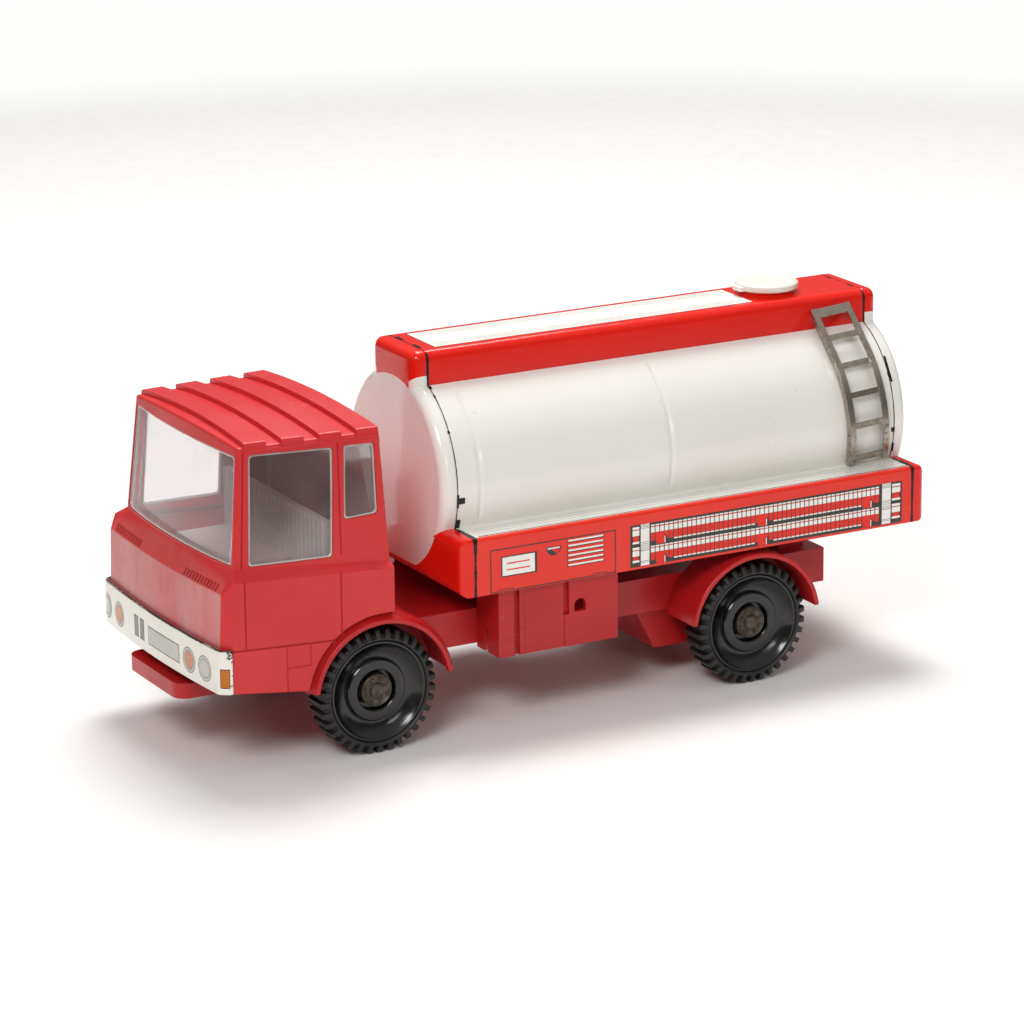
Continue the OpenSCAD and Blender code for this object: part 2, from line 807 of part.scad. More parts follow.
// Pressed metal hub cap with eight nuts around a round centre boss.
module hub_cap(side, axle_y) {
    cap_r = 5.5;
    cap_h = 3.8;
    nut_circle_r = 3.9;
    color(steel)
        on_side(side)
            along_x(hub_face_x, axle_y, axle_z) {
                cylinder(h = cap_h, r = cap_r);
                cylinder(h = cap_h + 0.8, r = 2.3);
                for (i = [0:7]) {
                    rotate((i + 0.5) * 45)
                        translate([nut_circle_r, 0, 0])
                            cylinder(h = cap_h + 0.4, r = 0.6, $fn = 12);
                }
            }
}

// ---------- friction drive ----------

// Spur gear outline with one tooth centred on the given angle.
module gear(teeth, width, first_angle, bore_r) {
    pitch_r = gear_module * teeth / 2;
    tip_r = pitch_r + gear_module;
    root_r = pitch_r - 1.25 * gear_module;
    outline = [
        for (i = [0:teeth - 1])
            for (p = [[-0.36, root_r], [-0.21, pitch_r], [-0.09, tip_r],
                      [0.09, tip_r], [0.21, pitch_r], [0.36, root_r]])
                let (a = first_angle + (i + p[0]) * 360 / teeth)
                    [p[1] * cos(a), p[1] * sin(a)]];
    difference() {
        linear_extrude(width)
            polygon(outline);
        translate([0, 0, -1])
            cylinder(h = width + 2, r = bore_r);
    }
}

// Folded steel bracket that carries the three shafts.
module motor_frame() {
    web_bottom = deck_inner_z - 0.1 - cheek_t;
    color(steel)
        difference() {
            union() {
                span([-cheek_x - cheek_t, 43, web_bottom], [cheek_x + cheek_t, 76, web_bottom + cheek_t]);
                for (side = [-1, 1]) {
                    on_side(side)
                        span([cheek_x, 46, 16], [cheek_x + cheek_t, 72.5, web_bottom + eps]);
                }
            }
            rod_x(-20, 20, rear_axle_y, axle_z, axle_r + axle_clearance);
            rod_x(-20, 20, idler_y, idler_z, small_shaft_r + 0.06);
            rod_x(-20, 20, flywheel_y, flywheel_z, small_shaft_r + 0.06);
            for (y = motor_screw_ys) {
                translate([0, y, web_bottom - 1])
                    cylinder(h = 3, r = 1.1);
            }
        }
}

module drive_gear() {
    color(nylon)
        along_x(first_mesh_x, rear_axle_y, axle_z)
            gear(gear_teeth, gear_w, idler_angle, axle_r);
}

module idler_shaft() {
    color(steel)
        rod_x(-cheek_x - 1.6, cheek_x + 1.6, idler_y, idler_z, small_shaft_r);
}

module idler_pinion() {
    color(brass)
        along_x(first_mesh_x - 0.3, idler_y, idler_z)
            gear(pinion_teeth, gear_w + 0.6, idler_angle + 180 + 180 / pinion_teeth, small_shaft_r);
}

module idler_gear() {
    color(nylon)
        along_x(second_mesh_x, idler_y, idler_z)
            gear(gear_teeth, gear_w, flywheel_angle, small_shaft_r);
}

module flywheel_shaft() {
    color(steel)
        rod_x(-23, cheek_x + 1.6, flywheel_y, flywheel_z, small_shaft_r);
}

module flywheel_pinion() {
    color(brass)
        along_x(second_mesh_x - 0.3, flywheel_y, flywheel_z)
            gear(pinion_teeth, gear_w + 0.6, flywheel_angle + 180 + 180 / pinion_teeth, small_shaft_r);
}

module flywheel() {
    color(steel)
        difference() {
            rod_x(-22, -13, flywheel_y, flywheel_z, flywheel_r);
            rod_x(-24, -10, flywheel_y, flywheel_z, small_shaft_r);
        }
}

// Round-headed screw pointing up, its head's top face at z.
module screw(x, y, z, head_r, shank_r, shank_h) {
    color(steel)
        translate([x, y, z]) {
            translate([0, 0, -1.2])
                cylinder(h = 1.2 + eps, r = head_r);
            cylinder(h = shank_h, r = shank_r);
        }
}

module motor_screws() {
    for (y = motor_screw_ys) {
        screw(0, y, deck_inner_z - 0.1 - cheek_t - 0.02, 2, 1, 2.6);
    }
}

module cab_screws() {
    for (side = [-1, 1]) {
        screw(side * cab_post_x, cab_post_y, deck_inner_z - 0.02, 2.4, 1.2, 10);
    }
}

chassis_frame();
fender(1, front_arch_y, front_arch_z, front_shoulder_r);  // fender_front_left
fender(-1, front_arch_y, front_arch_z, front_shoulder_r);  // fender_front_right
fender(1, rear_axle_y, axle_z, arch_r);  // fender_rear_left
fender(-1, rear_axle_y, axle_z, arch_r);  // fender_rear_right
side_box(1);  // side_box_left
side_box(-1);  // side_box_right
motor_housing();
cab_shell();
cab_glazing();
bench_insert();
front_bumper();
tank_shell();
tank_front_cap();
tank_rear_cap();
tank_floor();
ladder();
filler_cap();
axle_rod(front_axle_y);  // front_axle
axle_rod(rear_axle_y);  // rear_axle
wheel(1, front_axle_y);  // wheel_front_left
wheel(-1, front_axle_y);  // wheel_front_right
wheel(1, rear_axle_y);  // wheel_rear_left
wheel(-1, rear_axle_y);  // wheel_rear_right
tyre(1, front_axle_y);  // tyre_front_left
tyre(-1, front_axle_y);  // tyre_front_right
tyre(1, rear_axle_y);  // tyre_rear_left
tyre(-1, rear_axle_y);  // tyre_rear_right
hub_cap(1, front_axle_y);  // hub_cap_front_left
hub_cap(-1, front_axle_y);  // hub_cap_front_right
hub_cap(1, rear_axle_y);  // hub_cap_rear_left
hub_cap(-1, rear_axle_y);  // hub_cap_rear_right
motor_frame();
drive_gear();
idler_shaft();
idler_pinion();
idler_gear();
flywheel_shaft();
flywheel_pinion();
flywheel();
motor_screws();
cab_screws();
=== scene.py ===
"""Looks of the tin toy tanker truck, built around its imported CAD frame."""

import math
import random
from contextlib import contextmanager

import bmesh
import bpy
from mathutils import Matrix, Vector
from mathutils.geometry import delaunay_2d_cdt


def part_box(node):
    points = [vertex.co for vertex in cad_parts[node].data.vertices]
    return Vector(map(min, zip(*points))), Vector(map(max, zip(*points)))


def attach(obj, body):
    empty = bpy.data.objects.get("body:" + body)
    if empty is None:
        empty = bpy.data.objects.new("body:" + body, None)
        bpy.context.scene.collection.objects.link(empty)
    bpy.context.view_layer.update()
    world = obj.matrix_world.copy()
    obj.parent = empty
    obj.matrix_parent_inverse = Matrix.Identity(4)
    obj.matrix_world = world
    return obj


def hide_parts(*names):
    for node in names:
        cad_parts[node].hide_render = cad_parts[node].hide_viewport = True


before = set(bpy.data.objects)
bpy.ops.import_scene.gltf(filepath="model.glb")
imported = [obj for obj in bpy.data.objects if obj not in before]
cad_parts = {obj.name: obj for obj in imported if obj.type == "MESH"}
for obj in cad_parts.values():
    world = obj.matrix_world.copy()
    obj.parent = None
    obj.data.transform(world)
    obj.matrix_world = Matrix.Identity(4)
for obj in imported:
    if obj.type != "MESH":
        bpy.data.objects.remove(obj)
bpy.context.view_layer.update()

MM = 0.001
LEFT, RIGHT = 1, -1


def box_mm(node):
    """Lowest and highest corner of a CAD node in millimetres."""
    low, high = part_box(node)
    return Vector(low) / MM, Vector(high) / MM


# ---------- places from the frame, in millimetres ----------

tank_low, tank_high = box_mm("tank_shell")
cab_low, cab_high = box_mm("cab_shell")
bumper_low, bumper_high = box_mm("front_bumper")
lid_low, lid_high = box_mm("filler_cap")
front_cap_low, front_cap_high = box_mm("tank_front_cap")
rear_cap_y = box_mm("tank_rear_cap")[1].y

TANK_HALF_W = tank_high.x
SKIRT_BOTTOM = tank_low.z
TANK_TOP = front_cap_high.z
NECK_TOP = tank_high.z
SEAM_FRONT, SEAM_REAR = tank_low.y, tank_high.y
WALKWAY_Z = 68
BARREL_R = 35
BARREL_Z = 81
TOP_HALF_W = 14.9
TOP_CORNER = 3
COLLAR_H = 3.4
FOLD = 1.3
TIN = 0.6


# ---------- materials ----------

class Paint:
    """A Principled material whose nodes are added by name and wired as they are made."""

    def __init__(self, name):
        self.material = bpy.data.materials.new(name)
        self.material.use_nodes = True
        self.tree = self.material.node_tree
        self.tree.nodes.clear()
        self.output = self.tree.nodes.new("ShaderNodeOutputMaterial")
        self.shader = self.tree.nodes.new("ShaderNodeBsdfPrincipled")
        self.tree.links.new(self.shader.outputs[0], self.output.inputs["Surface"])
        self.place = self.tree.nodes.new("ShaderNodeTexCoord").outputs["Object"]

    def put(self, socket, value):
        """Links a socket to another socket, or sets its plain value."""
        if isinstance(value, bpy.types.NodeSocket):
            self.tree.links.new(value, socket)
        else:
            socket.default_value = value

    def node(self, kind, inputs=(), **settings):
        made = self.tree.nodes.new(kind)
        for key, value in settings.items():
            setattr(made, key, value)
        for key, value in dict(inputs).items():
            self.put(made.inputs[key], value)
        return made

    def noise(self, per_metre, detail=4, roughness=0.55, stretch=(1, 1, 1), shift=(0, 0, 0), distortion=0):
        """Noise from 0 to 1; stretch scales the object's axes first."""
        mapped = self.node("ShaderNodeMapping", {"Vector": self.place, "Scale": stretch, "Location": shift})
        inputs = {"Vector": mapped.outputs[0], "Scale": per_metre, "Detail": detail, "Roughness": roughness,
                  "Distortion": distortion}
        return self.node("ShaderNodeTexNoise", inputs).outputs[0]

    def remap(self, value, low, high, to_low=0, to_high=1, smooth=True):
        """The value taken from one range to another, held at both ends."""
        kind = "SMOOTHSTEP" if smooth else "LINEAR"
        inputs = {"Value": value, "From Min": low, "From Max": high, "To Min": to_low, "To Max": to_high}
        return self.node("ShaderNodeMapRange", inputs, interpolation_type=kind).outputs[0]

    def math(self, operation, a, b=0.0, clamp=False):
        return self.node("ShaderNodeMath", {0: a, 1: b}, operation=operation, use_clamp=clamp).outputs[0]

    def times(self, a, b, clamp=False):
        return self.math("MULTIPLY", a, b, clamp)

    def plus(self, a, b, clamp=False):
        return self.math("ADD", a, b, clamp)

    def mix(self, factor, a, b):
        """Mix of two colours."""
        return self.node("ShaderNodeMix", {0: factor, 6: a, 7: b}, data_type="RGBA").outputs[2]

    def mix_shaders(self, factor, a, b):
        return self.node("ShaderNodeMixShader", {0: factor, 1: a, 2: b}).outputs[0]

    def axis(self, name):
        """One object coordinate in metres."""
        return self.node("ShaderNodeSeparateXYZ", {0: self.place}).outputs[name]

    def scratches(self, per_metre=420, stretch=(1, 0.09, 1), width=0.02):
        """Fine long scratches, 1 in a scratch and 0 elsewhere."""
        lines = self.noise(per_metre, 2, 0.4, stretch, (0.3, 0.1, 0.7), 0.4)
        away = self.math("ABSOLUTE", self.math("SUBTRACT", lines, 0.5))
        thin = self.remap(away, 0, width, 1, 0)
        patchy = self.remap(self.noise(35, 2, 0.5, shift=(5, 2, 1)), 0.56, 0.72)
        return self.times(thin, patchy)

    def relief(self, height, strength, distance, edge_radius):
        """Normals of a bump over edges softened by the given radius in metres."""
        soft = self.node("ShaderNodeBevel", {"Radius": edge_radius}, samples=4).outputs[0]
        inputs = {"Height": height, "Strength": strength, "Distance": distance, "Normal": soft}
        return self.node("ShaderNodeBump", inputs).outputs[0]

    def surface(self, **values):
        """Links or sets the shader's own sockets, with _ for each space in a socket's name."""
        for key, value in values.items():
            self.put(self.shader.inputs[key.replace("_", " ")], value)


def moulded(name, colour, shade, front_sheen=None, gloss=(0.3, 0.46), edge=0.0003, speck=0.5):
    """Coloured moulded plastic with flow mottling, handling scratches and settled dust, and where asked a
    painted pale sheen on the cab's flat front.
    """
    p = Paint(name)
    flow = p.remap(p.noise(26, 5, 0.6, (1, 0.5, 1), distortion=0.6), 0.3, 0.72)
    base = p.mix(p.times(flow, 0.6), colour, shade)
    scuffs = p.scratches()
    dust = p.remap(p.noise(900, 3, 0.7), 0.68, 0.8)
    pale = p.mix(p.times(p.plus(scuffs, dust, True), speck * 0.12), base, (0.85, 0.55, 0.52, 1))
    # painted sheen: the flat front below the crease, short of the corner strips, is mixed towards a paler
    # colour in patches, as a painted reflection of the light it faces
    if front_sheen:
        sheen_colour, start, end, crease, corner, amount = front_sheen
        flat = p.times(p.remap(p.axis("Z"), crease, crease - 0.001, 0.25, 1),
                      p.remap(p.math("ABSOLUTE", p.axis("X")), corner, corner + 0.0008, 1, 0))
        along = p.times(p.remap(p.axis("Y"), start, end), flat)
        sheen_patches = p.remap(p.noise(70, 7, 0.7, (1, 1, 0.3), (3, 0, 2)), 0.3, 0.62, 0.45, 1)
        pale = p.mix(p.times(p.times(along, sheen_patches), amount), pale, sheen_colour)
    p.surface(Base_Color=pale)
    fine = p.noise(420, 5, 0.6)
    rough = p.remap(p.plus(p.times(flow, 0.6), p.times(fine, 0.4)), 0.15, 0.85, *gloss)
    p.surface(Roughness=p.plus(rough, p.times(scuffs, 0.15), True))
    p.surface(Normal=p.relief(p.plus(fine, p.times(p.noise(75, 2), 2.5)), 0.22, 0.00003, edge))
    p.surface(Specular_IOR_Level=0.45, IOR=1.49)
    return p.material


def printed_tin(name, colour, shade, grime=0.35, wear=None, edge=0.0004, coat=0.35):
    """Lacquered litho print on tin: an even colour with a faint tone change, grime and tiny chips."""
    p = Paint(name)
    tone = p.remap(p.noise(18, 4, 0.55), 0.3, 0.7)
    base = p.mix(p.times(tone, 0.7), colour, shade)
    smear = p.remap(p.noise(60, 6, 0.7, (1, 0.35, 1), (1, 4, 2)), 0.56, 0.8)
    base = p.mix(p.times(smear, grime * 0.4), base, (0.34, 0.29, 0.22, 1))
    freckle = p.remap(p.noise(520, 2, 0.5, shift=(7, 3, 1)), 0.735, 0.76)
    base = p.mix(p.times(freckle, grime), base, (0.09, 0.07, 0.055, 1))
    if wear:
        bottom, top, end_x = wear
        height, across = p.axis("Z"), p.math("ABSOLUTE", p.axis("X"))
        rim = p.remap(height, top - 0.0010, top - 0.0001, 0, 0.7)
        base = p.mix(p.remap(height, top - 0.0008, top - 0.0002, 0, 0.75), base, (0.20, 0.155, 0.11, 1))
        foot = p.times(p.remap(height, bottom + 0.0009, bottom, 0, 0.75), p.remap(across, 0.040, 0.047))
        end = p.remap(across, end_x - 0.0016, end_x + 0.0002, 0, 0.62)
        near = p.math("MAXIMUM", p.math("MAXIMUM", rim, foot), end)
        chips = p.times(p.noise(520, 5, 0.72), p.remap(p.noise(70, 3), 0.4, 0.6, 0.65, 1.1))
        ragged = p.remap(p.plus(near, chips), 0.98, 1.06)
        base = p.mix(ragged, base, (0.03, 0.024, 0.02, 1))
    p.surface(Base_Color=base)
    scuffs = p.scratches(330, (0.6, 0.04, 1), 0.03)
    rough = p.remap(p.noise(150, 4, 0.6), 0.25, 0.75, 0.1, 0.24)
    p.surface(Roughness=p.plus(rough, p.times(scuffs, 0.2), True))
    waves = p.plus(p.noise(30, 2, 0.4), p.times(p.noise(700, 2), 0.03))
    p.surface(Normal=p.relief(waves, 0.35, 0.0004, edge))
    p.surface(Coat_Weight=coat, Coat_Roughness=0.05, Specular_IOR_Level=0.3)
    return p.material


def bare_metal(name, colour, dark, spots, rough, per_metre=240):
    """Tinned or plated steel with dark rust spots and dull patches."""
    p = Paint(name)
    cloud = p.remap(p.noise(110, 5, 0.65), 0.3, 0.7)
    rust = p.remap(p.noise(per_metre, 7, 0.72, shift=(2, 1, 6)), *spots)
    base = p.mix(rust, p.mix(cloud, colour, tuple(0.72 * c for c in colour[:3]) + (1,)), dark)
    p.surface(Base_Color=base)
    p.surface(Metallic=p.math("SUBTRACT", 0.9, p.times(rust, 0.5)))
    dull = p.plus(p.remap(cloud, 0, 1, *rough), p.times(rust, 0.25), True)
    p.surface(Roughness=dull)
    p.surface(Normal=p.relief(p.plus(p.noise(500, 5, 0.7), rust), 0.3, 0.00005, 0.0002))
    return p.material


def ink(name, colour, shade, rough=(0.2, 0.34)):
    """Printed ink: a screened colour that varies a little, lacquered like the tin around it."""
    p = Paint(name)
    screen = p.remap(p.noise(1500, 2, 0.5), 0.35, 0.65)
    cloud = p.remap(p.noise(90, 4, 0.6), 0.3, 0.7)
    blend = p.plus(p.times(screen, 0.35), p.times(cloud, 0.5), True)
    p.surface(Base_Color=p.mix(blend, colour, shade))
    p.surface(Roughness=p.remap(cloud, 0, 1, *rough))
    p.surface(Normal=p.relief(screen, 0.1, 0.00002, 0.00005))
    p.surface(Coat_Weight=0.12, Coat_Roughness=0.08, Specular_IOR_Level=0.25)
    return p.material


def black_moulding(name, colour, shade, rough, dust, grain, coat=0.0):
    """Black plastic or rubber with grey dust in its pores."""
    p = Paint(name)
    cloud = p.remap(p.noise(120, 5, 0.65), 0.35, 0.7)
    specks = p.remap(p.noise(1300, 3, 0.7), 0.62, 0.78)
    base = p.mix(cloud, colour, shade)
    p.surface(Base_Color=p.mix(p.times(specks, dust), base, (0.32, 0.29, 0.26, 1)))
    p.surface(Roughness=p.remap(p.plus(cloud, p.noise(600, 4)), 0.4, 1.5, *rough))
    p.surface(Normal=p.relief(p.noise(grain, 4, 0.6), 0.3, 0.00004, 0.0002))
    p.surface(Coat_Weight=coat, Coat_Roughness=0.1, Specular_IOR_Level=0.5)
    return p.material


def clear_moulding(name, mirror, haze_amount, tint, rainbow=0.0):
    """Clear styrene: see-through, with surface gloss, smudges and faint stress colours."""
    p = Paint(name)
    p.tree.nodes.remove(p.shader)
    through = p.node("ShaderNodeBsdfTransparent", {"Color": tint})
    smudge = p.remap(p.noise(55, 6, 0.7, (1, 1, 0.6)), 0.42, 0.75)
    bands = p.noise(24, 2, 0.45, (1, 1, 1.6), (4, 2, 1), 2.2)
    hue = p.node("ShaderNodeCombineColor", {0: p.remap(bands, 0.3, 0.7, 0, 2.4, False), 1: rainbow, 2: 1.0},
                 mode="HSV").outputs[0]
    rough = p.remap(smudge, 0, 1, 0.03, 0.2)
    gloss = p.node("ShaderNodeBsdfGlossy", {"Color": hue, "Roughness": rough})
    haze = p.node("ShaderNodeBsdfDiffuse", {"Color": (0.82, 0.79, 0.77, 1)})
    normal = p.relief(p.noise(40, 3), 0.25, 0.0003, 0.0004)
    for shader in (gloss, haze):
        p.put(shader.inputs["Normal"], normal)
    # Schlick's curve: the same from both faces of the sheet
    facing = p.node("ShaderNodeLayerWeight", {"Blend": 0.5, "Normal": normal}).outputs["Facing"]
    fresnel = p.plus(p.times(p.math("POWER", facing, 5.0), 0.95), 0.05, True)
    hazy = p.plus(haze_amount, p.times(smudge, 0.022), True)
    body = p.mix_shaders(hazy, through.outputs[0], haze.outputs[0])
    coated = p.mix_shaders(p.times(fresnel, mirror, True), body, gloss.outputs[0])
    p.put(p.output.inputs["Surface"], coated)
    return p.material


CAB_FRONT_Y = cab_low.y * MM
# the cab's flat front gets a painted sheen, paler in patches, standing in for the reflection of the bright
# room it faces: colour, from and to along Y, crease height, corner and amount
front_painted_sheen = ((0.62, 0.27, 0.26, 1), CAB_FRONT_Y + 0.0062, CAB_FRONT_Y + 0.0042, 0.0628, 0.0428, 0.8)
cab_red = moulded("cab_red", (0.66, 0.028, 0.029, 1), (0.57, 0.020, 0.023, 1), front_sheen=front_painted_sheen)
frame_red = moulded("frame_red", (0.50, 0.010, 0.013, 1), (0.40, 0.008, 0.011, 1), gloss=(0.28, 0.44))
litho_red = printed_tin("litho_red", (0.84, 0.034, 0.016, 1), (0.78, 0.024, 0.012, 1), grime=0.12, coat=0.2)
deep_red = printed_tin("deep_red", (0.82, 0.013, 0.005, 1), (0.74, 0.009, 0.004, 1), grime=0.12, coat=0.2)
litho_white = printed_tin("litho_white", (0.88, 0.865, 0.825, 1), (0.84, 0.82, 0.77, 1), grime=0.22, coat=0.5)
bumper_white = printed_tin("bumper_white", (0.90, 0.875, 0.81, 1), (0.84, 0.81, 0.73, 1), grime=0.5,
                           wear=(bumper_low.z * MM, bumper_high.z * MM, bumper_high.x * MM), edge=0.0002)
ladder_tin = bare_metal("ladder_tin", (0.46, 0.405, 0.335, 1), (0.07, 0.056, 0.043, 1), (0.48, 0.74),
                        (0.12, 0.3), 620)
hub_tin = bare_metal("hub_tin", (0.12, 0.098, 0.08, 1), (0.04, 0.032, 0.028, 1), (0.5, 0.66), (0.3, 0.5), 420)
steel = bare_metal("steel", (0.52, 0.50, 0.47, 1), (0.13, 0.10, 0.08, 1), (0.6, 0.75), (0.25, 0.45))
brass = bare_metal("brass", (0.72, 0.52, 0.22, 1), (0.25, 0.15, 0.06, 1), (0.6, 0.78), (0.22, 0.4))
nylon = moulded("nylon", (0.74, 0.70, 0.60, 1), (0.66, 0.61, 0.50, 1), gloss=(0.4, 0.55), speck=0.1)
bench_grey = moulded("bench_grey", (0.50, 0.44, 0.41, 1), (0.42, 0.37, 0.345, 1), gloss=(0.4, 0.55),
                     speck=0.2)
cap_white = moulded("cap_white", (0.84, 0.81, 0.74, 1), (0.76, 0.72, 0.63, 1), gloss=(0.3, 0.42), speck=0.1)
dish_black = black_moulding("dish_black", (0.004, 0.004, 0.004, 1), (0.008, 0.008, 0.008, 1), (0.12, 0.24),
                            0.05, 90, 0.15)
tyre_black = black_moulding("tyre_black", (0.012, 0.0115, 0.011, 1), (0.022, 0.021, 0.020, 1), (0.42, 0.6),
                            0.14, 500)
clear = clear_moulding("clear_plastic", 1.1, 0.03, (0.97, 0.965, 0.965, 1), 0.12)
clear_edge = clear_moulding("clear_plastic_edge", 2.4, 0.42, (0.90, 0.85, 0.82, 1))
ink_black = ink("ink_black", (0.008, 0.007, 0.007, 1), (0.018, 0.015, 0.014, 1))
ink_dark = ink("ink_dark", (0.040, 0.036, 0.032, 1), (0.060, 0.054, 0.047, 1))
ink_grey = ink("ink_grey", (0.26, 0.25, 0.24, 1), (0.20, 0.19, 0.185, 1))
ink_pale = ink("ink_pale", (0.60, 0.585, 0.545, 1), (0.53, 0.515, 0.48, 1))
ink_white = ink("ink_white", (0.92, 0.90, 0.85, 1), (0.87, 0.845, 0.79, 1))
ink_red = ink("ink_red", (0.83, 0.030, 0.018, 1), (0.77, 0.022, 0.013, 1))
ink_orange = ink("ink_orange", (0.58, 0.17, 0.012, 1), (0.48, 0.125, 0.009, 1))
ink_apricot = ink("ink_apricot", (0.66, 0.29, 0.16, 1), (0.58, 0.24, 0.13, 1))


# ---------- mesh building ----------

def link(name, mesh):
    made = bpy.data.objects.new(name, mesh)
    bpy.context.scene.collection.objects.link(made)
    return made


@contextmanager
def edited(obj):
    """The object's mesh as a bmesh, written back afterwards."""
    bm = bmesh.new()
    bm.from_mesh(obj.data)
    yield bm
    bm.to_mesh(obj.data)
    bm.free()


def paint(mesh, *materials):
    mesh.materials.clear()
    for material in materials:
        mesh.materials.append(material)


def settle(obj, sharp_deg=33, weld=0.0005):
    """Welds vertices, faces the surface outwards and shades it smooth between its sharp edges."""
    limit = math.radians(sharp_deg)
    with edited(obj) as bm:
        bmesh.ops.remove_doubles(bm, verts=bm.verts, dist=weld * MM)
        bmesh.ops.recalc_face_normals(bm, faces=bm.faces)
        for face in bm.faces:
            face.smooth = True
        for edge in bm.edges:
            edge.smooth = not (len(edge.link_faces) == 2 and edge.calc_face_angle(0) > limit)
    return obj


def solid(name, verts, faces, materials=(), picks=None):
    """A mesh object from millimetres, with a material index for each face."""
    mesh = bpy.data.meshes.new(name)
    mesh.from_pydata([Vector(v) * MM for v in verts], [], faces)
    paint(mesh, *materials)
    for polygon, pick in zip(mesh.polygons, picks or ()):
        polygon.material_index = pick
    return link(name, mesh)


def adopt(obj, body, slot, *nodes):
    """Makes a piece ride on its body and stand for its CAD nodes."""
    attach(obj, body)
    if nodes:
        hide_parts(*nodes)
    return obj


def steady_normals(obj):
    """Shades large flat faces evenly, and keeps the sharp edges."""
    made = obj.modifiers.new("steady_normals", "WEIGHTED_NORMAL")
    made.keep_sharp = True
    return obj


def rounded_edges(obj, width, angle_deg=33, segments=2):
    """Bevels the sharp edges by a width in millimetres."""
    made = obj.modifiers.new("rounded_edges", "BEVEL")
    made.limit_method = "ANGLE"
    made.angle_limit = math.radians(angle_deg)
    made.width = width * MM
    made.segments = segments
    return steady_normals(obj)


def refined(node, body, slot, material, bevel):
    """A clean copy of a CAD node: flat faces merged and its edges rounded."""
    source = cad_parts[node].data
    verts = [v.co / MM for v in source.vertices]
    obj = solid(node + "_moulding", verts, [tuple(p.vertices) for p in source.polygons], [material])
    with edited(obj) as bm:
        bmesh.ops.remove_doubles(bm, verts=bm.verts, dist=0.002 * MM)
        bmesh.ops.dissolve_limit(bm, angle_limit=math.radians(0.4), verts=bm.verts, edges=bm.edges)
    settle(obj)
    return adopt(rounded_edges(obj, bevel), body, slot, node)


def grid(rows, closed_across=False, closed_along=False):
    """Quads between rows of points of equal length, as vertices and faces."""
    verts = [p for row in rows for p in row]
    n, count = len(rows[0]), len(rows)
    faces = []
    for i in range(count if closed_along else count - 1):
        for j in range(n if closed_across else n - 1):
            a, b = i * n + j, i * n + (j + 1) % n
            c, d = ((i + 1) % count) * n + (j + 1) % n, ((i + 1) % count) * n + j
            faces.append((a, b, c, d))
    return verts, faces


def prism(outline, low, high, place):
    """Closed prism over a 2-D outline; place(u, v, height) gives each point."""
    n = len(outline)
    verts = [place(u, v, low) for u, v in outline] + [place(u, v, high) for u, v in outline]
    faces = [tuple(range(n))[::-1], tuple(range(n, 2 * n))]
    faces += [(i, (i + 1) % n, n + (i + 1) % n, n + i) for i in range(n)]
    return verts, faces


def joined(parts):
    """One list of vertices and faces, and the index of each face's part, from several."""
    verts, faces, source = [], [], []
    for k, (v, f) in enumerate(parts):
        start = len(verts)
        verts += v
        faces += [tuple(i + start for i in face) for face in f]
        source += [k] * len(f)
    return verts, faces, source


def rounded_outline(corners, radius, steps=4):
    """The outline with each corner turned into an arc."""
    out = []
    n = len(corners)
    for i in range(n):
        p = Vector(corners[i])
        a = (Vector(corners[i - 1]) - p).normalized()
        b = (Vector(corners[(i + 1) % n]) - p).normalized()
        half = a.angle(b) / 2
        if half > math.radians(89.5):
            out.append(tuple(p))
            continue
        reach = min(radius / math.tan(half), 0.45 * (Vector(corners[i - 1]) - p).length,
                    0.45 * (Vector(corners[(i + 1) % n]) - p).length)
        r = reach * math.tan(half)
        centre = p + (a + b).normalized() * (r / math.sin(half))
        first, last = p + a * reach - centre, p + b * reach - centre
        turn = first.angle_signed(last)
        for k in range(steps + 1):
            out.append(tuple(centre + Matrix.Rotation(-turn * k / steps, 2) @ first))
    return out


def circle(u, v, r, count):
    """Points round a circle."""
    turns = [math.radians(360 * k / count) for k in range(count)]
    return [(u + r * math.cos(a), v + r * math.sin(a)) for a in turns]


def lathe(profile, place, steps=96, closed=True):
    """Surface turned about the axis of place(u, v, height); the profile is (radius, height) points."""
    rows = [[place(r * u, r * v, h) for r, h in profile] for u, v in circle(0, 0, 1, steps)]
    return grid(rows, closed_across=closed, closed_along=True)


def cutter(name, *parts):
    """One closed tool from several prisms."""
    verts, faces, _ = joined(parts)
    return settle(solid(name, verts, faces))


def cut(obj, tool, operation="DIFFERENCE"):
    """Applies a boolean with another object, which is removed."""
    made = obj.modifiers.new("cut", "BOOLEAN")
    made.operation = operation
    made.object = tool
    made.solver = "EXACT"
    graph = bpy.context.evaluated_depsgraph_get()
    result = bpy.data.meshes.new_from_object(obj.evaluated_get(graph))
    obj.modifiers.clear()
    old = obj.data
    obj.data = result
    bpy.data.meshes.remove(old)
    bpy.data.objects.remove(tool)
    return obj


MODIFIER_SETTINGS = ("limit_method", "angle_limit", "width", "segments", "keep_sharp")


def cut_kept(obj, tool, operation="DIFFERENCE"):
    """A boolean cut placed before the object's other modifiers, which stay."""
    kept = [(m.name, m.type, {k: getattr(m, k) for k in MODIFIER_SETTINGS if hasattr(m, k)})
            for m in obj.modifiers]
    obj.modifiers.clear()
    cut(obj, tool, operation)
    for name, kind, values in kept:
        made = obj.modifiers.new(name, kind)
        for key, value in values.items():
            setattr(made, key, value)
    return obj


def along_x(u, v, h):
    return (h, u, v)


def along_y(u, v, h):
    return (u, h, v)


def along_z(u, v, h):
    return (u, v, h)


def block(name, low, high):
    """A plain box between two corners, used only as a cutting tool."""
    (x0, y0, z0), (x1, y1, z1) = low, high
    return solid(name, *prism([(x0, y0), (x1, y0), (x1, y1), (x0, y1)], z0, z1, along_z))


# ---------- cab ----------

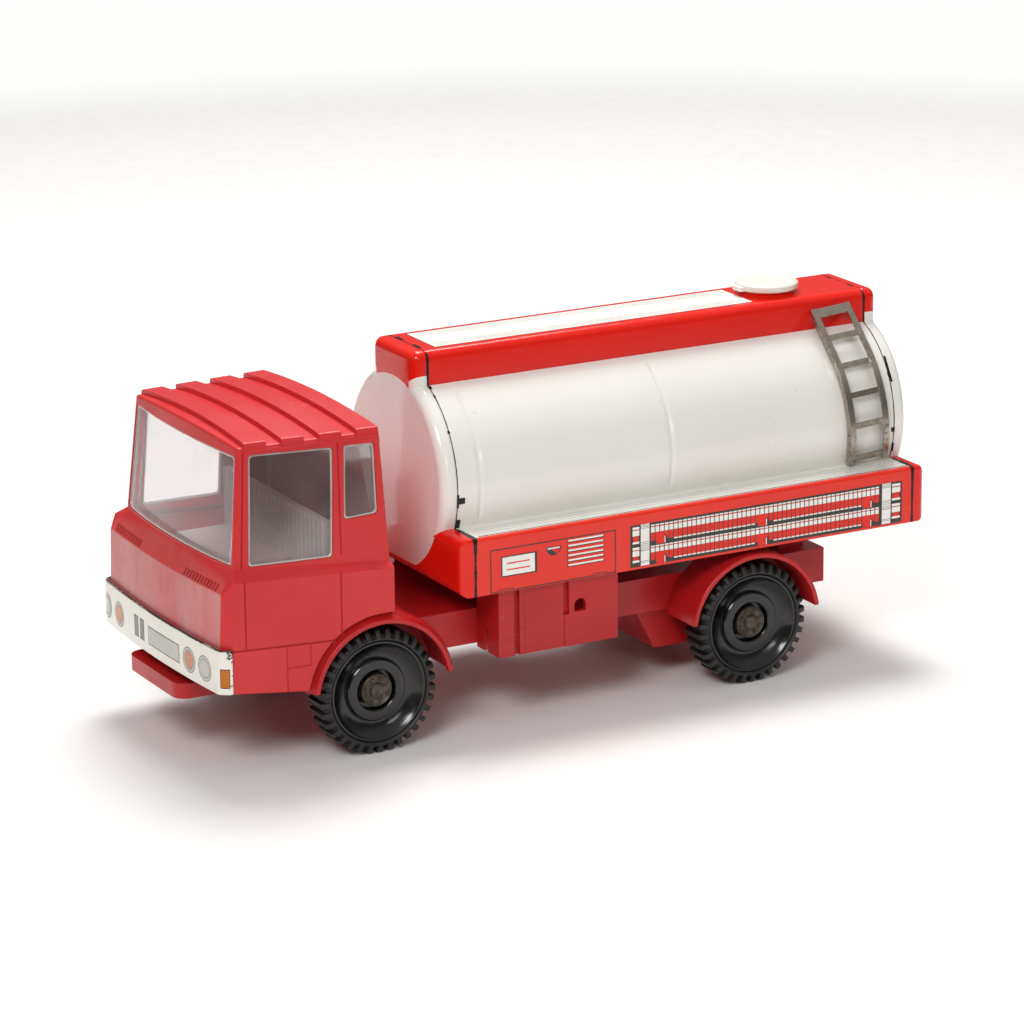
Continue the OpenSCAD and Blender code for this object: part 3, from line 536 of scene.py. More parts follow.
CAB_WALL = 1.4
ROOF_EDGE = 0.9
BODY_EDGE = 0.55
ROOF_Z = 110.4
ROOF_CROWN = 2
RIB_H = 1.3
RIB_PITCH = 12.9
FIRST_RIB_Y = -119.4
ROW_STEPS = 8
VENT_Y, VENT_Z = -130.9, 64.6
VENTS = 12
FIRST_VENT_X = 17.9
VENT_PITCH = 1.94
VENT_TILT_DEG = 36
SILL_RISE_DEG = 7.2
arch_low, arch_high = box_mm("fender_front_left")
ARCH_Y = (arch_low.y + arch_high.y) / 2
ARCH_Z = (arch_high.z + arch_low.z) / 2 - (arch_high.y - arch_low.y) ** 2 / (8 * (arch_high.z - arch_low.z))
ARCH_R = arch_high.z - ARCH_Z + 0.2


def bowed_row(half_w, y, z, bow, crown):
    """Points across the cab, bowed forwards and crowned upwards in the middle."""
    out = []
    for i in range(-ROW_STEPS, ROW_STEPS + 1):
        t = i / ROW_STEPS
        out.append((half_w * t, y - bow * (1 - t * t), z + crown * (1 - t * t)))
    return out


def rounded_hull(name, points, radius, steps=24):
    """Convex solid around balls of one radius at the points."""
    bm = bmesh.new()
    for x, y, z in points:
        for i in range(steps // 2 + 1):
            tilt = math.pi * i / (steps // 2)
            for j in range(steps if 0 < i < steps // 2 else 1):
                turn = 2 * math.pi * j / steps
                bm.verts.new(Vector((x + radius * math.sin(tilt) * math.cos(turn),
                                     y + radius * math.sin(tilt) * math.sin(turn),
                                     z + radius * math.cos(tilt))) * MM)
    found = bmesh.ops.convex_hull(bm, input=bm.verts, use_existing_faces=False)
    spare = {g for g in found["geom_interior"] + found["geom_unused"] if isinstance(g, bmesh.types.BMVert)}
    bmesh.ops.delete(bm, geom=list(spare), context="VERTS")
    mesh = bpy.data.meshes.new(name)
    bm.to_mesh(mesh)
    bm.free()
    return link(name, mesh)


def cab_upper(inset, edge_r, lift=0, steps=24):
    """The cab above its waist as one rounded hull, moved inwards by the inset and its roof by the lift."""
    m = inset + edge_r
    top = ROOF_Z - ROOF_CROWN - m + lift
    return rounded_hull("cab_upper", bowed_row(42.1 - m, -125.6 + m, 66, 2.9, 0)
                        + bowed_row(39.6 - m, -121.6 + m, top, 1.8, ROOF_CROWN)
                        + bowed_row(42.8 - m, -72.6 - m, top, 0, ROOF_CROWN)
                        + bowed_row(44.8 - m, -70 - m, 60, 0, 0), edge_r, steps)


def cab_lower(inset, edge_r, steps=24):
    """The wider part of the cab up to its waist, moved inwards by the inset."""
    m = inset + edge_r
    half_w = cab_high.x - m
    points = (bowed_row(43.3 - m, -132.3 + m, 24, 1.8, 0) + bowed_row(44.3 - m, -130.5 + m, 62.1, 2, 0)
              + bowed_row(41.9 - m, -125.4 + m, 69.7 - m, 2.9, 0))
    for side in (LEFT, RIGHT):
        points += [(side * half_w, -129.2 + m, 24), (side * half_w, -127.8 + m, 66.6 - m),
                   (side * half_w, -69.9 - m, 24), (side * half_w, -69.9 - m, 63.4 - m),
                   (side * (half_w - 2.1), -69.9 - m, 65.1 - m)]
    return rounded_hull("cab_lower", points, edge_r, steps)


WINDSCREEN = [(-40.5, 70.1), (40.5, 70.1), (38.1, 105.6), (-38.1, 105.6)]
DOOR_WINDOW = [(-120, 69.4), (-90.5, 68.7), (-88.9, 105.0), (-118, 105.9)]
QUARTER_WINDOW = [(-86.2, 80.5), (-74.2, 81.1), (-74.6, 104.8), (-85.3, 105.1)]


def shrunk(outline, gap):
    """The outline moved towards its middle by the gap."""
    u = sum(p[0] for p in outline) / len(outline)
    v = sum(p[1] for p in outline) / len(outline)
    return [(a - math.copysign(gap, a - u), b - math.copysign(gap, b - v)) for a, b in outline]


def window_tools(name, gap):
    """Cutters for every window, each smaller than its opening by the gap."""
    parts = [prism(rounded_outline(shrunk(WINDSCREEN, gap), 1.6), -140, -116, along_y)]
    for side in (LEFT, RIGHT):
        for outline in (DOOR_WINDOW, QUARTER_WINDOW):
            parts.append(prism(rounded_outline(shrunk(outline, gap), 1.2), side * 30, side * 60, along_x))
    return cutter(name, *parts)


def groove(side, y0, z0, y1, z1, depth=0.45, width=0.55):
    """Cutter for a pressed line on the side of the cab."""
    x0, x1 = side * (cab_high.x - depth), side * (cab_high.x + 2)
    across = Vector((y1 - y0, z1 - z0)).normalized().orthogonal() * width / 2
    outline = [(y0 + across.x, z0 + across.y), (y0 - across.x, z0 - across.y),
               (y1 - across.x, z1 - across.y), (y1 + across.x, z1 + across.y)]
    return prism(outline, x0, x1, along_x)


def build_cab():
    """Hollow moulding with ribs, gutter, windows, pressed lines and vents, cut out over the wheels."""
    cab = cab_upper(0, ROOF_EDGE)
    cab.name = "cab_body"
    cut(cab, cab_lower(0, BODY_EDGE), "UNION")
    # rain gutter that stands proud along the roof's sides
    gutter = cab_upper(-0.35, ROOF_EDGE)
    verts, faces, _ = joined([prism([(-119.5, 106.3), (-73.5, 106.3), (-73.5, 107.5), (-119.5, 107.5)],
                                    side * 34, side * 60, along_x) for side in (LEFT, RIGHT)])
    cut(gutter, solid("gutter_band", verts, faces), "INTERSECT")
    cut(cab, gutter, "UNION")
    ribs = cab_upper(-0.1, ROOF_EDGE, RIB_H + 0.1)
    profile = [(0, -2), (0.3, 20), (5.6, 20), (8.2, -2)]
    bands = [prism([(FIRST_RIB_Y + i * RIB_PITCH + u, ROOF_Z - 4 + v) for u, v in profile], -60, 60, along_x)
             for i in range(4)]
    cut(ribs, cutter("rib_bands", *bands), "INTERSECT")
    cut(cab, ribs, "UNION")
    room = cab_upper(CAB_WALL, 0.3, steps=8)
    cut(room, cab_lower(CAB_WALL, 0.3, steps=8), "UNION")
    cut(cab, room)
    cut(cab, window_tools("window_tools", 0))
    lines = []
    for side in (LEFT, RIGHT):
        lines += [groove(side, -123.6, 43.5, -123.6, 69), groove(side, -89.4, 20, -89.4, 69),
                  groove(side, -131, 43.9, -68, 40.5), groove(side, -109.2, 20, -109.2, 42.6, 0.2, 0.35),
                  groove(side, -100.8, 34.9, -100.8, 42.2, 0.2, 0.35),
                  groove(side, -109.2, 35.1, -100.8, 34.9, 0.2, 0.35)]
    for line in lines:
        cut(cab, cutter("line_tool", line))
    # lines down the front pillars and between the side windows, cut to an even depth
    posts = []
    for side in (LEFT, RIGHT):
        for low_y, high_y in ((-122.6, -120.0), (-87.9, -87.6)):
            posts.append(prism([(low_y, 69.5), (low_y + 0.45, 69.5), (high_y + 0.45, 106), (high_y, 106)],
                               side * 30, side * 60, along_x))
    post_tool = cutter("post_tool", *posts)
    cut(post_tool, cab_upper(0.4, ROOF_EDGE))
    cut(cab, post_tool)
    slots = []
    outline = [(-0.66, -1.1), (0.66, -1.1), (0.66, 1.3), (-0.66, 1.3)]
    for side in (LEFT, RIGHT):
        for i in range(VENTS):
            x = side * (FIRST_VENT_X + VENT_PITCH * i)
            y = VENT_Y + 2 * (x / 44) ** 2
            turn = Matrix.Translation((x, y, VENT_Z)) @ Matrix.Rotation(math.radians(-VENT_TILT_DEG), 4, "X")
            slots.append(prism(outline, -2.4, 0.2, lambda u, v, h, t=turn: tuple(t @ Vector((u, v, h)))))
    cut(cab, cutter("vent_tools", *slots))
    # the sill rises towards the front
    rise = 80 * math.tan(math.radians(SILL_RISE_DEG))
    sill = [(-140, -30), (-60, -30), (-60, 31 - rise), (-140, 31)]
    cut(cab, cutter("sill_tool", prism(sill, -60, 60, along_x)))
    cut(cab, cutter("arch_tool", prism(circle(ARCH_Y, ARCH_Z, ARCH_R, 120), -60, 60, along_x)))
    cut(cab, block("rear_tool", (-60, ARCH_Y, 0), (60, -60, ARCH_Z + ARCH_R)))
    cut(cab, block("tunnel_tool", (-30.2, -150, 0), (30.2, -60, 38.6)))
    paint(cab.data, cab_red)
    settle(cab, 35, 0.01)
    return adopt(steady_normals(cab), "truck", "cab_plastic", "cab_shell")


def build_glazing():
    """Clear liner that stands out into each window opening."""
    liner = cab_upper(CAB_WALL + 0.1, 0.3, steps=8)
    liner.name = "cab_windows"
    panes = cab_upper(0.5, 0.3, steps=8)
    cut(panes, window_tools("pane_tools", 0.15), "INTERSECT")
    cut(liner, panes, "UNION")
    cut(liner, cab_upper(CAB_WALL + 1.0, 0.3, steps=8))
    cut(liner, block("below_tool", (-60, -140, 0), (60, -60, 68.9)))
    cut(liner, block("above_tool", (-60, -140, 106.2), (60, -60, 120)))
    settle(liner, 30, 0.01)
    mesh = liner.data
    paint(mesh, clear, clear_edge)
    for face in mesh.polygons:
        middle, normal = face.center / MM, face.normal
        on_front = middle.y < -116 and abs(normal.y) < 0.5
        on_side = abs(middle.x) > 36 and middle.y > -122 and abs(normal.x) < 0.5 and middle.y < -72.5
        if (on_front or on_side) and face.area < 1.2e-4:
            face.material_index = 1
    return adopt(steady_normals(liner), "truck", "clear_plastic", "cab_glazing")


def build_window_lips():
    """Thick moulded edges of the clear panes, inside each opening."""
    band = cab_upper(0.35, 0.3, steps=8)
    band.name = "window_lips"
    cut(band, cab_upper(0.95, 0.3, steps=8))
    cut(band, window_tools("lip_outer", 0.12), "INTERSECT")
    cut(band, window_tools("lip_inner", 0.7))
    paint(band.data, clear_edge)
    settle(band, 30, 0.01)
    return adopt(band, "truck", "clear_plastic")


# ---------- wheels ----------

WHEELS = {}
for corner in ("front_left", "front_right", "rear_left", "rear_right"):
    lowest, highest = box_mm("tyre_" + corner)
    WHEELS[corner] = ((lowest.y + highest.y) / 2, (lowest.z + highest.z) / 2)
TYRE_R = 21.2
TYRE_IN, TYRE_OUT = 34.3, 46.3
RIM_R = 17.3
HUB_FACE = 40.5
LUGS = 34
LUG_DEPTH = 1.7
SHOULDER_PINCH = 0.14
# places round one lug, in lugs, and how deep the notch is there
LUG_STEPS = ((-0.5, 1), (-0.3, 1), (-0.265, 0.95), (-0.225, 0.06), (-0.19, 0), (0, 0), (0.19, 0),
             (0.225, 0.06), (0.265, 0.95), (0.3, 1))


def on_wheel(corner, side):
    """Places points round the wheel's axle, with the height going outwards."""
    cy, cz = WHEELS[corner]
    return lambda u, v, h: (side * h, cy + u, cz + v)


def build_tyre(corner, side, body):
    """Tyre whose shoulders and tread are notched into lugs."""
    place = on_wheel(corner, side)
    bead = RIM_R + 0.02
    profile = [(bead, TYRE_IN), (bead, TYRE_OUT - 0.7), (RIM_R + 0.5, TYRE_OUT - 0.1),
               (RIM_R + 0.9, TYRE_OUT), (RIM_R + 1.2, TYRE_OUT), (TYRE_R - 1.5, TYRE_OUT - 0.3),
               (TYRE_R - 0.3, TYRE_OUT - 0.9), (TYRE_R, TYRE_OUT - 1.6), (TYRE_R, 42), (TYRE_R, 38.6),
               (TYRE_R, TYRE_IN + 1.6), (TYRE_R - 0.3, TYRE_IN + 0.9), (TYRE_R - 1.5, TYRE_IN + 0.3),
               (RIM_R + 1.2, TYRE_IN)]
    smooth = rounded_outline(profile, 0.25, 2)
    middle = (TYRE_IN + TYRE_OUT) / 2
    rows = []
    for lug in range(LUGS):
        for part, deep in LUG_STEPS:
            a = 2 * math.pi * (lug + 0.5 + part) / LUGS
            row = []
            for r, x in smooth:
                on_shoulder = max(0, min(1, (r - (RIM_R + 0.8)) / 0.5))
                on_tread = max(0, min(1, r - (RIM_R + 2)))
                notched_r = r - LUG_DEPTH * deep * on_tread
                notched_x = middle + (x - middle) * (1 - SHOULDER_PINCH * deep * on_shoulder)
                row.append(place(notched_r * math.cos(a), notched_r * math.sin(a), notched_x))
            rows.append(row)
    verts, faces = grid(rows, closed_across=True, closed_along=True)
    obj = settle(solid("tyre_tread_" + corner, verts, faces, [tyre_black]), 40)
    return adopt(obj, body, "tyre_black", "tyre_" + corner)


def build_wheel(corner, side, body):
    """Glossy dish with a rolled rim, a ring bead and the hub's recess."""
    slope = [(RIM_R - 1.3 - 5 * k / 8, 45.15 - 2.65 * math.sin(math.pi * k / 16) ** 0.9) for k in range(9)]
    profile = [(1.5, 35.1), (RIM_R, 35.1), (RIM_R, 45.2), (RIM_R - 0.3, 45.6), (RIM_R - 0.95, 45.6)]
    profile += slope + [(10.7, 42.35), (10.5, 43.7), (10.1, 44.1), (7.3, 44.1), (6.9, 43.75), (6.9, HUB_FACE),
                        (1.5, HUB_FACE)]
    verts, faces = lathe(rounded_outline(profile, 0.18, 3), on_wheel(corner, side), 128)
    obj = settle(solid("wheel_dish_" + corner, verts, faces, [dish_black]), 40)
    return adopt(obj, body, "wheel_plastic", "wheel_" + corner)


def stud(place, u, v, r, low, high):
    """Small round stud with a softened end."""
    rows = [[place(a, b, h) for a, b in circle(u, v, r * reach, 14)]
            for reach, h in ((0, low), (1, low), (1, high - 0.25), (0.72, high), (0, high))]
    return grid(rows, closed_across=True)


def build_hub_cap(corner, side, body):
    """Pressed cap with a raised edge, eight round nuts and a stepped centre boss."""
    place = on_wheel(corner, side)
    face = HUB_FACE + 3.6
    back = HUB_FACE + 0.02
    profile = [(0.3, back), (5.5, back), (5.5, face), (5.2, face + 0.2), (4.95, face + 0.1),
               (4.75, face - 0.1), (2.9, face - 0.1), (2.7, face - 0.25), (2.45, face - 0.1),
               (2.35, face + 0.6), (2.1, face + 0.75), (1.75, face + 0.7), (1.6, face + 0.55),
               (0.3, face + 0.6)]
    parts = [lathe(rounded_outline(profile, 0.1, 2), place, 72)]
    parts.append(stud(place, 0, 0, 0.4, HUB_FACE + 0.1, face + 0.6))
    for k in range(8):
        a = math.pi * (k + 0.5) / 4
        parts.append(stud(place, 3.85 * math.cos(a), 3.85 * math.sin(a), 0.62, face - 0.3, face + 0.45))
    verts, faces, _ = joined(parts)
    obj = settle(solid("hub_cap_pressing_" + corner, verts, faces, [hub_tin]), 30)
    return adopt(obj, body, "hub_metal", "hub_cap_" + corner)


# ---------- tank ----------

def tank_half(inset, foot_z, arc_steps=40, corner_steps=8):
    """Half section as (x, z, what the stretch up to the next point is)."""
    r = BARREL_R - inset
    ledge = WALKWAY_Z - inset
    half_w = TANK_HALF_W - inset
    box_x = TOP_HALF_W - inset
    corner = max(TOP_CORNER - inset * 0.6, 1)
    start = math.asin((ledge - BARREL_Z) / r)
    end = math.acos(box_x / r)
    out = [(half_w, foot_z, "skirt"), (half_w, (foot_z + ledge) / 2, "skirt")]
    for k in range(4):
        a = math.radians(30 * k)
        out.append((half_w - FOLD + FOLD * math.cos(a), ledge - FOLD + FOLD * math.sin(a),
                    "fold" if k < 3 else "walkway"))
    for k in range(1, 5):
        x = half_w - FOLD + (r * math.cos(start) - half_w + FOLD) * k / 5
        out.append((x, ledge, "walkway"))
    for k in range(arc_steps + 1):
        a = start + (end - start) * k / arc_steps
        out.append((r * math.cos(a), BARREL_Z + r * math.sin(a), "barrel" if k < arc_steps else "collar"))
    out.append((box_x, BARREL_Z + r * math.sin(end) + COLLAR_H, "top_side"))
    top = TANK_TOP - inset
    for k in range(corner_steps + 1):
        a = math.radians(90 * k / corner_steps)
        out.append((box_x - corner + corner * math.cos(a), top - corner + corner * math.sin(a),
                    "top_corner" if k < corner_steps else "top_face"))
    return out


def tank_section(inset, foot_z):
    """The whole open section from the left foot over the top to the right foot."""
    half = tank_half(inset, foot_z)
    kinds = [k for _, _, k in half]
    right = [(-x, z) for x, z, _ in half][::-1]
    points = [(x, z) for x, z, _ in half] + right
    return points, kinds + kinds[:-1][::-1] + ["end"]


def section_normals(points):
    """The outward direction at each point of the section."""
    out = []
    for i, p in enumerate(points):
        a, b = points[max(i - 1, 0)], points[min(i + 1, len(points) - 1)]
        d = Vector((b[0] - a[0], b[1] - a[1])).normalized()
        out.append((d.y, -d.x))
    return out


RING_YS = (SEAM_FRONT + 8.8, SEAM_FRONT + 82)
# how deep a ring is pressed in, and how wide it is along the tank
RING_DIP = 0.42
RING_WIDTH = 0.8
# the index of the colour printed on each stretch of the shell
TANK_PRINT = {"skirt": 0, "fold": 0, "walkway": 1, "barrel": 1, "collar": 2, "top_side": 2, "top_corner": 2,
              "top_face": 2}


def build_tank_shell():
    """Tin shell with its two pressed rings and the filler opening."""
    points, kinds = tank_section(0, SKIRT_BOTTOM)
    normals = section_normals(points)
    stations = [SEAM_FRONT, SEAM_FRONT + 0.5]
    for ring in RING_YS:
        stations += [ring + 0.35 * k for k in range(-6, 7)]
    stations += [SEAM_FRONT + 171.15 * k / 24 for k in range(1, 24)
                 if all(abs(SEAM_FRONT + 171.15 * k / 24 - ring) > 2.4 for ring in RING_YS)]
    stations = sorted(stations + [SEAM_REAR - 0.5, SEAM_REAR])
    rows = []
    for y in stations:
        row = []
        for (x, z), (nx, nz) in zip(points, normals):
            dip = RING_DIP * sum(math.exp(-((y - ring) / RING_WIDTH) ** 2) for ring in RING_YS)
            on_barrel = WALKWAY_Z + 3 < z < TANK_TOP - 14 and abs(x) < BARREL_R + 0.1
            dip = dip if on_barrel else 0
            row.append((x - nx * dip, y, z - nz * dip))
        rows.append(row)
    verts, faces = grid(rows)
    n = len(points)
    picks = [TANK_PRINT[kinds[j]] for _ in range(len(rows) - 1) for j in range(n - 1)]
    obj = settle(solid("tank_pressing", verts, faces, [litho_red, litho_white, deep_red], picks), 25)
    made = obj.modifiers.new("sheet", "SOLIDIFY")
    made.thickness = TIN * MM
    made.offset = -1
    opening = circle(0, FILLER_Y, NECK_BORE_R, 72)
    cut(obj, cutter("filler_tool", prism(opening, TANK_TOP - 4, TANK_TOP + 4, along_z)))
    settle(obj, 25)
    return adopt(steady_normals(obj), "truck", "tank_tin", "tank_shell")


DISC_R = 32.9
DISC_STEPS = 120
CAP_ROUND = 3.2
UNDER_STEPS = 12


def build_cap(name, node, seam_y, face_y, direction):
    """Pressed end cap with a rounded edge and a white disc printed on red."""
    depth = abs(face_y - seam_y)
    straight = depth - CAP_ROUND
    turns = [math.radians(9 * k) for k in range(11)]
    profile = [(0, 0), (straight * 0.5, 0)]
    profile += [(straight + CAP_ROUND * math.sin(a), CAP_ROUND * (1 - math.cos(a))) for a in turns]
    rows, kinds = [], None
    for d, inset in profile:
        low_z = SKIRT_BOTTOM + inset
        points, kinds = tank_section(inset, low_z)
        under = [(points[-1][0] * (1 - 2 * k / UNDER_STEPS), low_z) for k in range(1, UNDER_STEPS)]
        rows.append([(x, seam_y + direction * d, z) for x, z in points + under])
    n = len(rows[0])
    verts, faces = grid(rows, closed_across=True)
    row_kinds = kinds[:-1] + ["skirt"] * (n - len(kinds) + 1)
    picks = [int(kind in ("barrel", "collar")) for _ in range(len(rows) - 1) for kind in row_kinds]
    outline = [Vector((x, z)) for x, _, z in rows[-1]]
    disc = [Vector(p) for p in circle(0, BARREL_Z, DISC_R, DISC_STEPS)]
    edges = [(n + k, n + (k + 1) % DISC_STEPS) for k in range(DISC_STEPS)]
    flat, _, tris, _, _, owners = delaunay_2d_cdt(outline + disc, edges, [list(range(n))], 1, 1e-5)
    start = len(verts)
    verts += [(v.x, face_y, v.y) for v in flat]
    for tri, owner in zip(tris, owners):
        if owner:
            middle = sum((flat[i] for i in tri), Vector((0, 0))) / len(tri)
            faces.append(tuple(start + i for i in tri))
            picks.append(int((middle - Vector((0, BARREL_Z))).length < DISC_R))
    obj = settle(solid(name, verts, faces, [deep_red, litho_white], picks), 25, 0.004)
    made = obj.modifiers.new("sheet", "SOLIDIFY")
    made.thickness = TIN * 0.8 * MM
    made.offset = -1
    return adopt(steady_normals(obj), "truck", "cap_tin", node)


def seam_half_width(x, z):
    """The fold gapes beside the skirt and the top box, and closes round the barrel and on top."""
    if z > TANK_TOP - 0.5:
        return 0.08
    if z > TANK_TOP - 12:
        return 0.42
    if z < WALKWAY_Z + 0.5 and abs(x) > BARREL_R:
        return 0.42 + 0.35 * max(0, 1 - (WALKWAY_Z - z) / 6)
    return 0.17


def build_seam(name, y, seed):
    """Dark worn line of uneven width where a cap is folded over the shell."""
    points, _ = tank_section(-0.02, SKIRT_BOTTOM)
    normals = section_normals(points)
    luck = random.Random(seed)
    rows = [[], [], [], []]
    wander = 0.0
    for k in range(len(points) - 1):
        (x0, z0), (x1, z1) = points[k], points[k + 1]
        pieces = max(1, int(math.hypot(x1 - x0, z1 - z0) / 0.8))
        for j in range(pieces):
            t = j / pieces
            x, z = x0 + (x1 - x0) * t, z0 + (z1 - z0) * t
            nx, nz = normals[k]
            wander = 0.7 * wander + 0.3 * luck.uniform(-1, 1)
            wide = seam_half_width(x, z) * (1 + 0.5 * wander) + (0.25 if luck.random() < 0.04 else 0)
            for row, (side, lift) in zip(rows, ((-1, 0), (-1, 0.05), (1, 0.05), (1, 0))):
                row.append((x + nx * lift, y + side * wide, z + nz * lift))
    verts, faces = grid(rows, closed_along=True)
    obj = settle(solid(name, verts, faces, [ink_black]), 60)
    return adopt(obj, "truck", "cap_tin")


# ---------- prints on the tank ----------

INK_GAP = 0.004
INK_LAYER = 0.018


class Print:
    """Thin printed shapes laid just above one surface, collected into one piece."""

    def __init__(self, place):
        self.place = place
        self.parts, self.inks = [], []

    def shape(self, outline, material, layer=1):
        self.parts.append(prism(outline, INK_GAP, INK_GAP + INK_LAYER * layer, self.place))
        self.inks.append(material)

    def rect(self, u0, v0, u1, v1, material, layer=1, steps=1):
        """A rectangle, split along u where the surface bends."""
        for k in range(steps):
            a, b = u0 + (u1 - u0) * k / steps, u0 + (u1 - u0) * (k + 1) / steps
            self.shape([(a, v0), (b, v0), (b, v1), (a, v1)], material, layer)

    def frame(self, u0, v0, u1, v1, line, material, layer=1, steps=1):
        self.rect(u0, v0, u1, v0 + line, material, layer, steps)
        self.rect(u0, v1 - line, u1, v1, material, layer, steps)
        self.rect(u0, v0 + line, u0 + line, v1 - line, material, layer)
        self.rect(u1 - line, v0 + line, u1, v1 - line, material, layer)

    def disc(self, u, v, r, material, layer=1, steps=40):
        self.shape(circle(u, v, r, steps), material, layer)

    def piece(self, name, body, slot):
        verts, faces, source = joined(self.parts)
        inks = []
        for used in self.inks:
            if used not in inks:
                inks.append(used)
        obj = solid(name, verts, faces, inks, [inks.index(self.inks[k]) for k in source])
        with edited(obj) as bm:
            bmesh.ops.recalc_face_normals(bm, faces=bm.faces)
        return adopt(obj, body, slot)


def hatch_print(p, y0, z0):
    """Equipment hatch: outline, blank plate, handle, louvres and hinges."""
    line = 0.4
    p.frame(y0, z0, y0 + 47.6, z0 + 14.9, line, ink_dark)
    for left in (3.1, 38.4):
        p.rect(y0 + left, z0 - 0.05, y0 + left + 5.6, z0 + 0.95, ink_dark, 2)
        p.rect(y0 + left + 0.3, z0 + 0.22, y0 + left + 5.3, z0 + 0.68, ink_red, 3)
    p.rect(y0 + 4.1, z0 + 5, y0 + 17.6, z0 + 12.1, ink_dark)
    p.rect(y0 + 4.55, z0 + 5.4, y0 + 16.7, z0 + 11.7, ink_white, 2)
    p.rect(y0 + 6.2, z0 + 9.3, y0 + 14.9, z0 + 9.75, ink_red, 3)
    p.rect(y0 + 6.2, z0 + 7.1, y0 + 14.9, z0 + 7.55, ink_red, 3)
    cy, cz, r = y0 + 23.9, z0 + 12.7, 2.85
    turns = [math.radians(a) for a in range(180, 361, 12)]
    bowl = [(cy + r * math.cos(a), cz + 1.08 * r * math.sin(a)) for a in turns]
    p.shape(bowl, ink_dark)
    inner = [(cy + 2.35, cz - 0.8), (cy + 2.0, cz - 1.75), (cy + 1.2, cz - 2.5), (cy - 0.9, cz - 1.0)]
    p.shape(inner, ink_red, 2)
    p.rect(cy - 2.35, cz - 0.8, cy + 2.2, cz - 0.3, ink_white, 3)
    for k in range(6):
        z = z0 + 13.7 - 1.68 * k
        p.rect(y0 + 29.2, z - 0.6, y0 + 43.3, z - 0.24, ink_dark)
        p.rect(y0 + 29.4, z - 0.28, y0 + 42.7, z + 0.3, ink_white, 2)
    p.rect(y0 + 29.05, z0 + 4.7, y0 + 29.3, z0 + 14.0, ink_dark)


# top, bottom and colour of each band of the upper and the lower hose
HOSE_ROWS = ((62.85, 62.35, "white"), (62.3, 62.02, "red"), (61.95, 60.1, "white"), (60.05, 57.25, "red"))
HOSE_ROWS_LOWER = ((55.5, 55.0, "white"), (54.95, 54.7, "red"), (54.65, 53.2, "white"), (53.15, 50.45, "red"))

# heights of the fine lines across the clamps
CLAMP_LINES = (63.0, 62.5, 62.0, 57.2, 56.6, 56.0, 55.3, 54.7, 54.2, 50.6, 50.1)


def rack_print(p, y0, y1):
    """Hose rack: two ribbed hoses in a dark frame, held by white clamps."""
    inks = {"white": ink_white, "red": ink_red}
    p.rect(y0, 48.95, y1, 63.6, ink_dark)
    first, last, pitch = y0 + 8.0, y1 - 8.9, 1.79
    count = int((last - first) / pitch)
    tabs = (y0 + 10.1, y0 + 50.1, y0 + 92.4)
    for rows, drop in ((HOSE_ROWS, 0), (HOSE_ROWS_LOWER, 6.8)):
        for k in range(count):
            a = first + pitch * k
            for top, bottom, colour in rows:
                p.rect(a, bottom, a + pitch - 0.34, top, inks[colour], 2)
            inside = any(t + 5.4 < a < u - 1.2 for t, u in zip(tabs, tabs[1:]))
            if inside:
                p.rect(a, 56.75 - drop, a + pitch - 0.34, 57.2 - drop, ink_white, 2)
        for t in tabs:
            p.rect(t, 55.9 - drop, t + 3.2, 60.05 - drop, ink_red, 3)
            p.rect(t + 3.2, 55.9 - drop, t + 3.5, 58.2 - drop, ink_white, 4)
            bracket = [(3.5, 59.3), (3.5, 56), (5.6, 56), (5.0, 56.9), (4.2, 57.7)]
            p.shape([(t + u, v - drop) for u, v in bracket], ink_dark, 3)
    for a, b in ((y0 + 0.9, y0 + 3.5), (y1 - 4.1, y1 - 0.7)):
        for z, drop in ((63.0, 0), (55.9, 0.6)):
            p.rect(a, z - 1.0, b, z - 0.1, ink_white, 2)
            p.rect(a, z - 3.2, b, z - 1.35, ink_white, 2)
            p.rect(a, z - 1.3, b, z - 1.05, ink_red, 2)
            p.rect(a + 0.25, z - 5.2 + drop, b - 0.35, z - 3.3, ink_red, 2)
            p.rect(a, z - 6.0 + drop, b, z - 5.25 + drop, ink_white, 2)
    for a, b in ((y0 + 3.9, y0 + 7.4), (y1 - 8.3, y1 - 4.6)):
        p.rect(a, 49.1, b, 63.5, ink_white, 2)
        for z in CLAMP_LINES:
            p.rect(a + 0.1, z, b - 0.1, z + 0.14, ink_dark, 3)
        p.rect(a, 49.1, a + 0.12, 63.5, ink_dark, 3)


def build_skirt_prints():
    """The hatch, the hose rack and the walkway's lines on both sides."""
    for side, word in ((LEFT, "left"), (RIGHT, "right")):
        p = Print(lambda u, v, h, s=side: (s * (TANK_HALF_W + h), u, v))
        hatch_print(p, SEAM_FRONT + 5.4, SKIRT_BOTTOM + 0.25)
        rack_print(p, SEAM_FRONT + 58.5, SEAM_FRONT + 166.9)
        p.piece("skirt_print_" + word, "truck", "tank_tin")
        walk = Print(lambda u, v, h, s=side: (s * v, u, WALKWAY_Z + h))
        for x in (36.4, 38.6, 41.4, 43.4):
            walk.rect(SEAM_FRONT + 3, x, SEAM_REAR - 1.5, x + 0.16, ink_grey)
        walk.rect(SEAM_FRONT + 2.2, TANK_HALF_W - 2.3, SEAM_REAR - 1, TANK_HALF_W - 1.6, ink_black)
        walk.piece("walkway_print_" + word, "truck", "tank_tin")


def build_top_print():
    """White panel with fine lines along the top of the tank."""
    p = Print(lambda u, v, h: (v, u, TANK_TOP + h))
    y0, y1 = SEAM_FRONT + 5, SEAM_FRONT + 129
    p.rect(y0, -10.5, y1, 10.5, ink_black)
    p.rect(y0 + 0.3, -10.2, y1 - 0.3, 10.2, ink_white, 2)
    for v in (-9.0, -7.8, -6.6, -5.4, 5.2, 6.4, 7.6, 8.8):
        p.rect(y0 + 1.6, v, y1 - 1.6, v + 0.16, ink_grey, 3)
    return p.piece("top_panel_print", "truck", "tank_tin")


